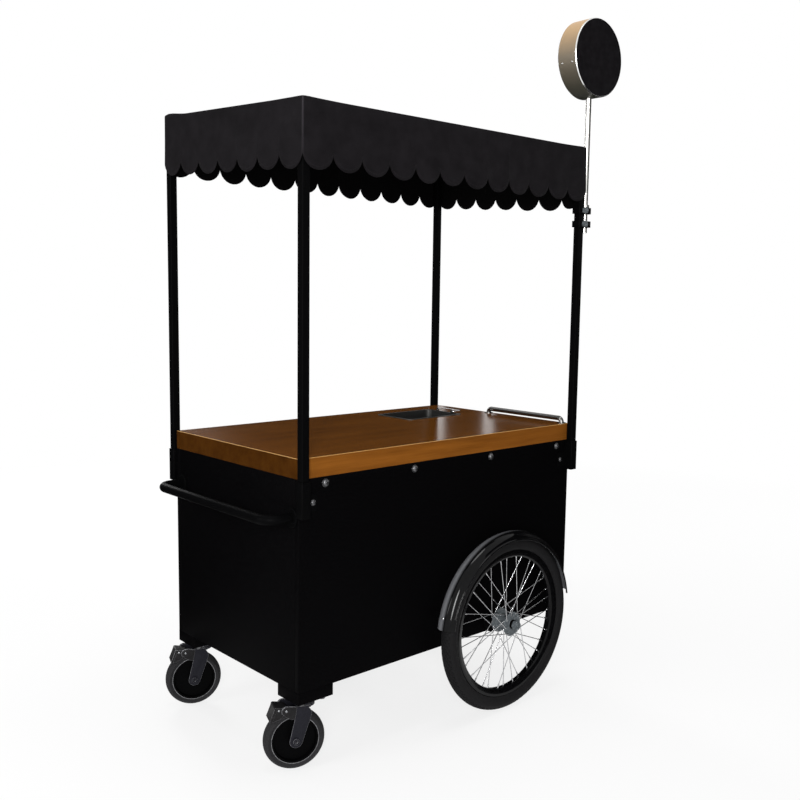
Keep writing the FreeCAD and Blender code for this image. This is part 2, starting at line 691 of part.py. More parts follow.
def make_push_handle():
    wall = -HALF_LENGTH
    half = HALF_DEPTH - GRIP_FOOT_DIAMETER / 2 - GRIP_EDGE
    ends = [Vector(wall, -half, GRIP_HEIGHT), Vector(wall, half, GRIP_HEIGHT)]
    corners = [end - X_AXIS * GRIP_REACH for end in ends]
    path = bent_path([ends[0], corners[0], corners[1], ends[1]], GRIP_BEND)
    feet = [rod(end, end - X_AXIS * GRIP_FOOT, GRIP_FOOT_DIAMETER) for end in ends]
    grip = join([pipe(path, GRIP_DIAMETER)] + feet)
    save("push_handle", grip.cut(pipe(path, GRIP_DIAMETER - 2 * GRIP_WALL)))


def plate_bolt_places(side):
    dx = PLATE_LENGTH / 2 - PLATE_BOLT_INSET
    dy = PLATE_WIDTH / 2 - PLATE_BOLT_INSET
    return [(CASTER_X + i * dx, side * CASTER_Y + j * dy) for i in (-1, 1) for j in (-1, 1)]


def make_casters():
    plate_top = BLOCK_BOTTOM
    plate_bottom = plate_top - PLATE
    race_bottom = plate_bottom - RACE_HEIGHT
    head_top = race_bottom - SEAT
    crown_top = head_top - FORK_HEAD_HEIGHT
    crown_bottom = crown_top - FORK_CROWN
    inner = CASTER_TREAD / 2 + FORK_GAP
    outer = inner + FORK_LEG
    axle = (CASTER_TRAIL, CASTER_RADIUS)
    shoulder = (FORK_LEAN, crown_top - FORK_SHOULDER - FORK_STEP)
    pivot = (PEDAL_PIVOT_OUT, crown_top - PEDAL_PIVOT_DROP)

    blocks = []
    for name, side in SIDES:
        place = Vector(CASTER_X, side * CASTER_Y, 0)
        x0 = CASTER_X - BLOCK_LENGTH / 2
        y0 = side * CASTER_Y - BLOCK_WIDTH / 2
        block = box(x0, x0 + BLOCK_LENGTH, y0, y0 + BLOCK_WIDTH, BLOCK_BOTTOM, CABINET_BOTTOM)
        holes = [rod(Vector(x, y, plate_bottom), Vector(x, y, plate_bottom + PLATE_BOLT_LENGTH + FIT),
                     PLATE_BOLT + 2 * FIT) for x, y in plate_bolt_places(side)]
        blocks.append(block.cut(holes))

        plate = rounded_box(CASTER_X - PLATE_LENGTH / 2, CASTER_X + PLATE_LENGTH / 2,
                            side * CASTER_Y - PLATE_WIDTH / 2, side * CASTER_Y + PLATE_WIDTH / 2,
                            plate_bottom, plate_top, PLATE_BOLT_INSET)
        race = turned([(0, plate_bottom), (RACE_DIAMETER / 2, plate_bottom),
                       (RACE_DIAMETER / 2, race_bottom + RACE_CHAMFER),
                       (RACE_DIAMETER / 2 - RACE_CHAMFER, race_bottom), (KINGPIN / 2, race_bottom),
                       (KINGPIN / 2, crown_bottom - SEAT), (KINGPIN_NUT / 2, crown_bottom - SEAT),
                       (KINGPIN_NUT / 2, crown_bottom - SEAT - KINGPIN_NUT_HEIGHT),
                       (0, crown_bottom - SEAT - KINGPIN_NUT_HEIGHT)], Z_AXIS)
        race.translate(place)
        save("caster_plate_" + name, join([plate, race]).cut(holes))

        def turn(shape):
            shape.rotate(ORIGIN, Z_AXIS, CASTER_HEADING)
            shape.translate(place)
            return shape

        legs = []
        for y0, y1 in ((-outer, -inner), (inner, outer)):
            legs.append(link(shoulder, FORK_SHOULDER, axle, FORK_END, y0, y1))
            legs.append(link(shoulder, FORK_SHOULDER, pivot, PEDAL_EAR, y0, y1))
        crown_x = shoulder[0] - FORK_CROWN_LENGTH / 2
        crown = box(crown_x, crown_x + FORK_CROWN_LENGTH, -outer, outer, crown_bottom, crown_top)
        head = rod(Vector(0, 0, crown_bottom), Vector(0, 0, head_top), FORK_HEAD)
        ends = [Vector(axle[0], y, axle[1]) for y in (-outer, outer)]
        pins = [Vector(pivot[0], y, pivot[1]) for y in (-outer, outer)]
        bores = [rod(Vector(0, 0, crown_bottom), Vector(0, 0, head_top), KINGPIN + 2 * RUN),
                 rod(*ends, CASTER_AXLE + 2 * FIT), rod(*pins, PEDAL_PIN + 2 * RUN)]
        save("caster_fork_" + name, turn(join(legs + [crown, head]).cut(bores)))

        bolt = [rod(ends[0], ends[1], CASTER_AXLE)]
        sockets = []
        for end, out in zip(ends, (-Y_AXIS, Y_AXIS)):
            top = end + out * CASTER_AXLE_HEAD_HEIGHT
            bolt.append(rod(end, top, CASTER_AXLE_HEAD))
            sockets.append(hexagon(top - out * CASTER_AXLE_SOCKET_DEPTH, top, CASTER_AXLE_SOCKET))
        save("caster_axle_" + name, turn(join(bolt).cut(sockets)))

        hub = inner - SEAT
        bore = CASTER_AXLE / 2 + RUN
        core = CASTER_CORE / 2
        half = CASTER_TREAD / 2
        seat = half - CORE_INSET
        rim = core - CORE_RIM
        body = turned(mirrored([(bore, hub), (CORE_HUB / 2, hub), (CORE_HUB / 2, CORE_WEB / 2),
                                (rim - CORE_RIM_FLARE, CORE_WEB / 2), (rim, seat), (core, seat)]))
        body.translate(Vector(axle[0], 0, axle[1]))
        save("caster_core_" + name, turn(body))
        tread = CASTER_RADIUS - CASTER_SIDEWALL
        outline = [Part.LineSegment(Vector(core, seat, 0), Vector(core, -seat, 0)),
                   Part.LineSegment(Vector(core, -seat, 0), Vector(tread, -half, 0)),
                   Part.Arc(Vector(tread, -half, 0), Vector(CASTER_RADIUS, 0, 0), Vector(tread, half, 0)),
                   Part.LineSegment(Vector(tread, half, 0), Vector(core, seat, 0))]
        section = Part.Face(Part.Wire([edge.toShape() for edge in outline]))
        tyre = section.revolve(ORIGIN, Y_AXIS, 360)
        tyre.translate(Vector(axle[0], 0, axle[1]))
        save("caster_tyre_" + name, turn(tyre))

        knee = (pivot[0] + PEDAL_KNEE_OUT, pivot[1] + PEDAL_KNEE_RISE)
        tip = (pivot[0] + PEDAL_LENGTH, pivot[1] - PEDAL_FALL)
        span = (-inner + SEAT * 2, inner - SEAT * 2)
        arm = link(pivot, PEDAL_ROOT, knee, PEDAL_KNEE, *span)
        lip = link(knee, PEDAL_TIP, tip, PEDAL_TIP, *span)
        save("caster_pedal_" + name, turn(join([arm, lip, rod(*pins, PEDAL_PIN)])))
    group("caster_blocks", blocks)


def make_spokes():
    """Crossed spokes: each flange sends every other one forwards and the rest backwards."""
    spokes = []
    rim_bore = Part.makeCylinder(RIM_INNER, RIM_WIDTH, Vector(0, -RIM_WIDTH / 2, 0), Y_AXIS)
    hub_angle = SPOKE_CROSSES * 720.0 / SPOKES
    face = HUB_FLANGE_THICKNESS / 2 + SPOKE_DIAMETER / 2 + RUN
    flange_run = math.sqrt((HUB_FLANGE / 2) ** 2 - (HUB_HOLE_CIRCLE / 2) ** 2) + SPOKE_DIAMETER
    for k in range(SPOKES):
        flange_side = 1 if k % 2 else -1
        leading = 1 if (k // 2) % 2 else -1
        rim_angle = math.radians(360.0 * k / SPOKES)
        hub_at = rim_angle + math.radians(leading * (hub_angle - 360.0 / SPOKES))
        reach = RIM_INNER + RIM_WALL
        outer = Vector(reach * math.cos(rim_angle), flange_side * RIM_STAGGER, reach * math.sin(rim_angle))
        hole = Vector(HUB_HOLE_CIRCLE / 2 * math.cos(hub_at), flange_side * HUB_FLANGE_SPACING / 2,
                      HUB_HOLE_CIRCLE / 2 * math.sin(hub_at))
        clear = hole + Y_AXIS * (flange_side * leading * face)
        # A spoke on the outer face leans back over the flange, so it starts further out.
        lean = (clear - outer).y * flange_run / ((outer - clear).Length - flange_run) if leading > 0 else 0
        inner = clear + Y_AXIS * lean
        along = (outer - inner).normalize()
        nipple = rod(outer - along * (NIPPLE_LENGTH + RIM_WALL), outer, NIPPLE_DIAMETER).common(rim_bore)
        wire = rod(inner, outer - along * NIPPLE_LENGTH, SPOKE_DIAMETER)
        seat = hole + Y_AXIS * (flange_side * leading * HUB_FLANGE_THICKNESS / 2)
        elbow = rod(seat, inner, SPOKE_DIAMETER)
        spokes.append(join([wire, nipple, elbow, Part.makeSphere(SPOKE_DIAMETER / 2, inner)]))
    return spokes


def make_wheels():
    section = TYRE_WIDTH / 2
    ring = WHEEL_RADIUS - section
    tyre = Part.makeTorus(ring, section, ORIGIN, Y_AXIS)
    air = Part.makeTorus(ring, section - TYRE_WALL, ORIGIN, Y_AXIS)
    bead = Part.makeCylinder(RIM_OUTER, TYRE_WIDTH, Vector(0, -section, 0), Y_AXIS)
    tyre = tyre.cut([air, bead])

    def rim_outline(wall):
        half = RIM_WIDTH / 2 - wall
        inner_half = RIM_INNER_WIDTH / 2 - wall / 2
        shoulder = RIM_INNER + RIM_SHOULDER
        return turned([(RIM_OUTER - wall, -half), (RIM_OUTER - wall, half), (RIM_OUTER - RIM_FLANK, half),
                       (shoulder, inner_half + RIM_WALL), (RIM_INNER + wall, inner_half),
                       (RIM_INNER + wall, -inner_half), (shoulder, -inner_half - RIM_WALL),
                       (RIM_OUTER - RIM_FLANK, -half)])

    rim = rim_outline(0).cut(rim_outline(RIM_WALL))
    bore = AXLE_DIAMETER / 2 + RUN
    flange = HUB_FLANGE / 2
    near = HUB_FLANGE_SPACING / 2 - HUB_FLANGE_THICKNESS / 2
    far = HUB_FLANGE_SPACING / 2 + HUB_FLANGE_THICKNESS / 2
    end = HUB_LENGTH / 2
    nose = HUB_END / 2
    barrel = HUB_BARREL / 2
    hub = turned(mirrored([(bore, end), (nose, end), (nose, far + HUB_NECK), (nose + HUB_NECK, far),
                           (flange, far), (flange, near), (barrel + HUB_FLARE, near),
                           (barrel, near - HUB_FLARE_LENGTH)]))
    spokes = make_spokes()

    for name, side in SIDES:
        place = Vector(WHEEL_X, side * WHEEL_Y, WHEEL_RADIUS)
        for node, shape in (("wheel_tyre_", tyre), ("wheel_rim_", rim), ("wheel_hub_", hub),
                            ("wheel_spokes_", Part.makeCompound(spokes))):
            placed = shape.copy()
            placed.translate(place)
            save(node + name, placed)


def make_axle():
    nut_y = WHEEL_Y + HUB_LENGTH / 2 + SEAT
    end_y = nut_y + AXLE_NUT_HEIGHT + AXLE_STUB

    def at(y):
        return Vector(WHEEL_X, y, WHEEL_RADIUS)

    axle = rod(at(-end_y), at(end_y), AXLE_DIAMETER)
    thread = rod(at(-end_y), at(end_y), AXLE_DIAMETER)
    nuts = [hexagon(at(side * nut_y), at(side * (nut_y + AXLE_NUT_HEIGHT)), AXLE_NUT_FLATS).cut(thread)
            for name, side in SIDES]
    group("wheel_axle", [axle] + nuts)
    flanges = []
    boss_length = WHEEL_OUT - HUB_LENGTH / 2 - SEAT
    for name, side in SIDES:
        plate = rod(at(side * HALF_DEPTH), at(side * (HALF_DEPTH + AXLE_PLATE)), AXLE_PLATE_DIAMETER)
        boss = rod(at(side * HALF_DEPTH), at(side * (HALF_DEPTH + boss_length)), AXLE_BOSS_DIAMETER)
        bore = rod(at(side * HALF_DEPTH), at(side * (HALF_DEPTH + boss_length)), AXLE_DIAMETER + 2 * FIT)
        flanges.append(join([plate, boss]).cut(bore))
    group("axle_flanges", flanges)


def swept(face):
    """Turn a profile in the X-Y plane from the fender's front end to its rear end."""
    face.rotate(ORIGIN, -Y_AXIS, FENDER_START)
    return face.revolve(ORIGIN, -Y_AXIS, FENDER_END - FENDER_START)


def make_fenders():
    half = FENDER_WIDTH / 2
    inside = half - FENDER_SHEET
    edge = FENDER_TOP - FENDER_CROWN
    outline = [
        Part.Arc(Vector(edge, -half, 0), Vector(FENDER_TOP, 0, 0), Vector(edge, half, 0)),
        Part.LineSegment(Vector(edge, half, 0), Vector(edge, inside, 0)),
        Part.Arc(Vector(edge, inside, 0), Vector(FENDER_TOP - FENDER_SHEET, 0, 0), Vector(edge, -inside, 0)),
        Part.LineSegment(Vector(edge, -inside, 0), Vector(edge, -half, 0)),
    ]
    sheet = swept(Part.Face(Part.Wire([edge_line.toShape() for edge_line in outline])))
    bead_y = half - FENDER_SHEET / 2
    beads = [swept(Part.Face(Part.Wire(Part.makeCircle(FENDER_BEAD / 2, Vector(edge, side * bead_y, 0)))))
             for side in (-1, 1)]
    fender = join([sheet] + beads)

    # Each stay runs out from the cabinet and carries the rolled edge that faces it.
    stay_top = math.sqrt((edge - FENDER_BEAD / 2) ** 2 - (STAY_WIDTH / 2) ** 2)
    stays = []
    for name, side in SIDES:
        place = Vector(WHEEL_X, side * WHEEL_Y, WHEEL_RADIUS)
        placed = fender.copy()
        placed.translate(place)
        save("fender_" + name, placed)
        for angle in STAY_ANGLES:
            bar_y = sorted((-side * WHEEL_OUT, -side * (bead_y - FENDER_BEAD / 2)))
            foot_y = sorted((-side * WHEEL_OUT, -side * (WHEEL_OUT - STAY)))
            bar = box(stay_top - STAY, stay_top, *bar_y, -STAY_WIDTH / 2, STAY_WIDTH / 2)
            foot = box(stay_top - STAY_FOOT, stay_top, *foot_y, -STAY_WIDTH / 2, STAY_WIDTH / 2)
            stay = join([bar, foot])
            stay.rotate(ORIGIN, -Y_AXIS, angle)
            stay.translate(place)
            stays.append(stay)
    group("fender_stays", stays)


def make_sign():
    axis_top = Vector(MAST_X, MAST_Y, SIGN_HEIGHT)
    radius = SIGN_DIAMETER / 2
    front = axis_top - Y_AXIS * SIGN_DEPTH / 2
    drum = Part.makeCylinder(radius, SIGN_DEPTH, front, Y_AXIS)
    hollow = Part.makeCylinder(radius - SIGN_WALL, SIGN_DEPTH, front, Y_AXIS)
    mast_top = Vector(MAST_X, MAST_Y, SIGN_HEIGHT - radius + MAST_INTO_SIGN)
    mast_foot = Vector(MAST_X, MAST_Y, MAST_BOTTOM)
    hole = rod(mast_foot, mast_top, MAST_DIAMETER + 2 * FIT)
    save("sign_drum", drum.cut([hollow, hole]))
    faces = []
    for name, side in SIDES:
        out = axis_top + Y_AXIS * side * (SIGN_DEPTH / 2 - SIGN_FACE_INSET)
        faces.append(rod(out - Y_AXIS * side * SIGN_FACE, out, SIGN_DIAMETER - 2 * SIGN_WALL - 2 * FIT))
    group("sign_faces", faces)

    collar_z = max(CLAMP_HEIGHTS) + CLAMP_TALL / 2 + SEAT
    collar = rod(Vector(MAST_X, MAST_Y, collar_z), Vector(MAST_X, MAST_Y, collar_z + COLLAR_HEIGHT),
                 COLLAR_DIAMETER)
    shaft = rod(mast_foot, mast_top, MAST_DIAMETER)
    bore = rod(mast_foot, mast_top, MAST_DIAMETER - 2 * MAST_WALL)
    save("sign_mast", join([shaft, collar]).cut(bore))

    clamps = []
    screws = []
    post_hole = POST / 2 + FIT
    half = POST / 2 + CLAMP_WALL
    mast_bore = MAST_DIAMETER / 2 + RUN
    for z in CLAMP_HEIGHTS:
        z0, z1 = z - CLAMP_TALL / 2, z + CLAMP_TALL / 2
        body = rounded_box(POST_X - half, MAST_X + mast_bore + CLAMP_WALL, MAST_Y - half, MAST_Y + half,
                           z0, z1, CLAMP_WALL)
        square = box(POST_X - post_hole, POST_X + post_hole, MAST_Y - post_hole, MAST_Y + post_hole, z0, z1)
        bore = rod(Vector(MAST_X, MAST_Y, z0), Vector(MAST_X, MAST_Y, z1), 2 * mast_bore)
        front_y = MAST_Y - half
        tip = Vector(POST_X, MAST_Y - POST / 2, z)
        face = Vector(POST_X, front_y, z)
        clamps.append(body.cut([square, bore, rod(face, tip, CLAMP_SCREW + 2 * FIT)]))
        neck = face - Y_AXIS * CLAMP_NECK
        screws.append(join([rod(neck, tip, CLAMP_SCREW),
                            rod(neck - Y_AXIS * CLAMP_KNOB_HEIGHT, neck, CLAMP_KNOB)]))
    group("mast_clamps", clamps)
    group("clamp_screws", screws)


def main():
    os.makedirs("parts", exist_ok=True)
    make_worktop()
    make_cabinet()
    make_door()
    make_ice_well()
    make_gallery_rail()
    make_bolts()
    make_posts()
    make_canopy_frame()
    make_cloth()
    make_push_handle()
    make_casters()
    make_wheels()
    make_axle()
    make_fenders()
    make_sign()


main()
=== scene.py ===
import bpy
import bmesh
import json
import math
from mathutils import Matrix, Vector, noise


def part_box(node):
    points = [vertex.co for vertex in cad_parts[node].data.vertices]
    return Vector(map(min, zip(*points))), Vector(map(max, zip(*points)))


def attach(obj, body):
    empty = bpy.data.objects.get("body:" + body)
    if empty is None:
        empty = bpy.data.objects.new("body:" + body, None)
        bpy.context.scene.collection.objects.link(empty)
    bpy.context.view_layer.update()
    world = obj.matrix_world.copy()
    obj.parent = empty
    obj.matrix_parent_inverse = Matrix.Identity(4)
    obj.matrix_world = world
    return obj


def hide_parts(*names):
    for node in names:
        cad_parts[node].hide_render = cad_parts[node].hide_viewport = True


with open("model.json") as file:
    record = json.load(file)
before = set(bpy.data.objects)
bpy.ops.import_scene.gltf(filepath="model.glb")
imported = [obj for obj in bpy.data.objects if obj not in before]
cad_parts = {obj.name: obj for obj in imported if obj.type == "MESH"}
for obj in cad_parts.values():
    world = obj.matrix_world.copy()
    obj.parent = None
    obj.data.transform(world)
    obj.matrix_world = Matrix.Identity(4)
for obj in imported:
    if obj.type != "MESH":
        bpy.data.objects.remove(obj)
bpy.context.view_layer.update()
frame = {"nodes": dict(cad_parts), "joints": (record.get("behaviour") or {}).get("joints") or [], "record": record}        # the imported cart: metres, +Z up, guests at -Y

cadNodes = frame["nodes"]
bodies = frame["record"]["behaviour"]["bodies"]
bodyOf = {node: body for body, members in bodies.items() for node in members}
xAxis, yAxis, zAxis = Vector((1, 0, 0)), Vector((0, 1, 0)), Vector((0, 0, 1))
pairNames = ("front", "rear")    # wheels, fenders and casters come in pairs
print("frame loaded:", len(cadNodes), "nodes")


# Mesh helpers

weld, ringSlack = 1e-6, 1e-5    # metres between points that count as one, and off a tube's last ring
flatAngle = 0.5    # degrees between faces that count as one


def meshOf(name, bm):
    mesh = bpy.data.meshes.new(name)
    bm.to_mesh(mesh)
    bm.free()
    return mesh


def newObject(name, data):
    made = bpy.data.objects.new(name, data)
    bpy.context.scene.collection.objects.link(made)
    return made


def linkPiece(name, bm, finish, node, covers=None, sharp=35):
    # the body comes from the piece's CAD node, which it stands for unless covers says otherwise
    piece = newObject(name, meshOf(name, bm))
    piece.data.shade_smooth()
    piece.data.set_sharp_from_angle(angle=math.radians(sharp))
    for one in (finish,) if isinstance(finish, str) else finish:
        piece.data.materials.append(finishes[one])
    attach(piece, bodyOf[node])
    covered = [node] if covers is None else covers
    if covered:
        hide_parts(*covered)
    return piece


def vertsOf(geom):
    return [g for g in geom if isinstance(g, bmesh.types.BMVert)]


def edgesOf(geom):
    return [g for g in geom if isinstance(g, bmesh.types.BMEdge)]


def cadCopy(node):
    bm = bmesh.new()
    bm.from_mesh(cadNodes[node].data)
    bmesh.ops.remove_doubles(bm, verts=bm.verts, dist=weld)
    bmesh.ops.dissolve_limit(bm, angle_limit=math.radians(flatAngle), verts=bm.verts, edges=bm.edges)
    return bm


def looseBoxes(node):
    # the lowest and highest corners of each loose part of a CAD node
    bm = cadCopy(node)
    left, boxes = set(bm.verts), []
    while left:
        part, edge = set(), [left.pop()]
        while edge:
            vert = edge.pop()
            part.add(vert)
            edge += [e.other_vert(vert) for e in vert.link_edges if e.other_vert(vert) not in part]
        left -= part
        boxes.append([Vector([pick(v.co[i] for v in part) for i in range(3)]) for pick in (min, max)])
    bm.free()
    return boxes


def easeEdges(bm, width, least=50, segments=2, only=None, worn=False):
    # rounds the sharp edges; worn edges take the piece's second finish, paler as wear and as a painted
    # highlight along the edges
    edges = [e for e in bm.edges if len(e.link_faces) == 2 and e.calc_face_angle() > math.radians(least)
             and (only is None or only(e))]
    eased = bmesh.ops.bevel(bm, geom=edges, offset=width, affect="EDGES", segments=segments, profile=0.5,
                            material=-1, clamp_overlap=True)["faces"]
    for face in eased if worn else ():
        face.material_index = 1


def easeNode(node, name, finish, width, **how):
    bm = cadCopy(node)
    easeEdges(bm, width, **how)
    linkPiece(name, bm, finish, node)


def addSpin(bm, points, centre, axis, steps, turn=360, start=0, closed=False):
    # (radius, along) points swept about an axis, from a start angle in degrees
    axis = Vector(axis).normalized()
    out = zAxis.cross(axis) if abs(axis.z) < 0.9 else xAxis
    out = (Matrix.Rotation(math.radians(start), 4, axis) @ out.normalized()).normalized()
    own = bmesh.new()
    line = [own.verts.new(Vector(centre) + out * radius + axis * along) for radius, along in points]
    ends = list(zip(line, line[1:])) + ([(line[-1], line[0])] if closed else [])
    geom = line + [own.edges.new(pair) for pair in ends]
    whole = abs(turn) >= 360
    last = bmesh.ops.spin(own, geom=geom, cent=centre, axis=axis, angle=math.radians(turn), steps=steps,
                          use_merge=whole)["geom_last"]
    if closed and not whole:
        for ring in (geom, last):
            bmesh.ops.contextual_create(own, geom=edgesOf(ring))
    bmesh.ops.remove_doubles(own, verts=own.verts, dist=weld)
    bmesh.ops.recalc_face_normals(own, faces=own.faces)
    addMesh(bm, own)


def addMesh(bm, own):
    spare = meshOf("spare", own)
    bm.from_mesh(spare)
    bpy.data.meshes.remove(spare)


def mirrored(points):
    # a half section and its mirror image, with a point on the middle taken once
    return points + [(radius, -along) for radius, along in reversed(points) if along]


def onCircle(radius, angle):
    return radius * math.cos(math.radians(angle)), radius * math.sin(math.radians(angle))


def radial(angle):
    # the way out from a wheel's or the sign's middle, in degrees from +X up
    x, z = onCircle(1, angle)
    return Vector((x, 0, z))


def crownLine(radius, height, rim, angles):
    return [(onCircle(radius, a)[0], rim + onCircle(height - rim, a)[1]) for a in angles]


def addDome(bm, seat, outward, radius, height, rim=0.0008, steps=20):
    # round screw head: a short straight rim, then a crowned top
    crown = crownLine(radius, height, rim, range(0, 90, 15))
    addSpin(bm, [(0, 0), (radius, 0)] + crown + [(0, height)], seat, outward, steps)


# washer and socket are shares of the head's radius, socketTop and socketFloor of its height
socketHead = {"washer": 1.16, "washerEdge": 0.0009, "washerTop": 0.0012, "washerEase": 0.0003,
              "socket": 0.38, "socketTaper": 0.92, "socketTop": 0.96, "socketFloor": 0.35}


def addSocketHead(bm, seat, outward, radius, height, steps=24):
    # button head on a thin washer, with a round socket sunk into its crown
    spec = socketHead
    washer, socket, floor = radius * spec["washer"], radius * spec["socket"], height * spec["socketFloor"]
    rim = [(0, 0), (washer, 0), (washer, spec["washerEdge"]),
           (washer - spec["washerEase"], spec["washerTop"])]
    crown = crownLine(radius, height, spec["washerTop"], range(0, 67, 11))
    well = [(socket, height * spec["socketTop"]), (socket * spec["socketTaper"], floor), (0, floor)]
    addSpin(bm, rim + crown + well, seat, outward, steps)


def addTube(bm, start, heading, runs, turns, bend, radius, sides, bendSteps=10):
    # a round tube of straight runs with a quarter bend between each two, capped at both ends
    own = bmesh.new()
    at = Vector(start)
    track = heading.to_track_quat("Z", "Y").to_matrix().to_4x4()
    ring = bmesh.ops.create_circle(own, cap_ends=False, segments=sides, radius=radius,
                                   matrix=Matrix.Translation(at) @ track)["verts"]
    edges = first = list({e for v in ring for e in v.link_edges})

    def lastRing(geom):
        return [e for e in edgesOf(geom) if all(abs((v.co - at).dot(heading)) < ringSlack for v in e.verts)]

    for run, towards in zip(runs, turns + [None]):
        made = bmesh.ops.extrude_edge_only(own, edges=edges)["geom"]
        bmesh.ops.translate(own, verts=vertsOf(made), vec=heading * run)
        at = at + heading * run
        edges = lastRing(made)
        if towards is not None:
            centre = at + towards * bend
            geom = edges + list({v for e in edges for v in e.verts})
            made = bmesh.ops.spin(own, geom=geom, cent=centre, axis=heading.cross(towards),
                                  angle=math.pi / 2, steps=bendSteps)["geom_last"]
            at, heading = centre + heading * bend, towards
            edges = lastRing(made)
    for ends in (first, edges):
        bmesh.ops.contextual_create(own, geom=ends)
    bmesh.ops.recalc_face_normals(own, faces=own.faces)
    addMesh(bm, own)


# Finishes

finishes = {}


def setInputs(node, values):
    # a plain value is set, and another node's output is linked
    for key, value in values.items():
        if isinstance(value, bpy.types.NodeSocket):
            node.id_data.links.new(value, node.inputs[key])
        else:
            node.inputs[key].default_value = value


def newFinish(name, spec):
    finish = bpy.data.materials.new(name)
    finish.use_nodes = True
    finishes[name] = finish
    shader = finish.node_tree.nodes["Principled BSDF"]
    setInputs(shader, {"Metallic": spec.get("metal", 0.0), "Specular IOR Level": spec.get("gloss", 0.5)})
    return finish.node_tree, shader


def addNode(tree, kind, values=None, **settings):
    # gives the new node's outputs; settings come first, because they decide which sockets there are
    node = tree.nodes.new("ShaderNode" + kind)
    for key, value in settings.items():
        setattr(node, key, value)
    setInputs(node, values or {})
    return node.outputs


def coordsOf(tree, kind):
    return addNode(tree, "TexCoord")[kind]


def addAxes(tree, vector):
    return addNode(tree, "SeparateXYZ", {"Vector": vector})


def reckon(tree, operation, *values):
    return addNode(tree, "Math", dict(enumerate(values)), operation=operation)["Value"]


def addRamp(tree, source, stops):
    ramp = addNode(tree, "ValToRGB", {"Fac": source})["Color"]
    elements = ramp.node.color_ramp.elements
    elements[0].position, elements[1].position = stops[0][0], stops[-1][0]
    for place, colour in stops[1:-1]:
        elements.new(place)
    for element, (place, colour) in zip(elements, stops):
        element.color = (*colour, 1)
    return ramp


def addSpread(tree, source, low, high, start=0, end=1, smooth=False):
    # carries the span from start to end over to low and high
    values = {"Value": source, "From Min": start, "From Max": end, "To Min": low, "To Max": high}
    return addNode(tree, "MapRange", values,
                   interpolation_type="SMOOTHSTEP" if smooth else "LINEAR")["Result"]


def addLayer(tree, amount, below, colour, blend="MIX"):
    # one colour laid over what is below it
    return addNode(tree, "Mix", {"Factor": amount, "A": below, "B": (*colour, 1)}, data_type="RGBA",
                   blend_type=blend)["Result"]


def addCloud(tree, scale, stretch=(1, 1, 1), detail=5, fade=0.6):
    place = addNode(tree, "Mapping", {"Vector": coordsOf(tree, "Object"), "Scale": stretch})["Vector"]
    return addNode(tree, "TexNoise", {"Vector": place, "Scale": scale, "Detail": detail,
                                      "Roughness": fade})["Fac"]


def addBump(tree, source, strength, distance):
    return addNode(tree, "Bump", {"Height": source, "Strength": strength, "Distance": distance})["Normal"]


def setSurface(tree, shader, spec, colour, grain):
    # one grain gives both the roughness and the bump
    setInputs(shader, {"Base Color": colour, "Roughness": addSpread(tree, grain, *spec["rough"]),
                       "Normal": addBump(tree, grain, *spec["bump"])})


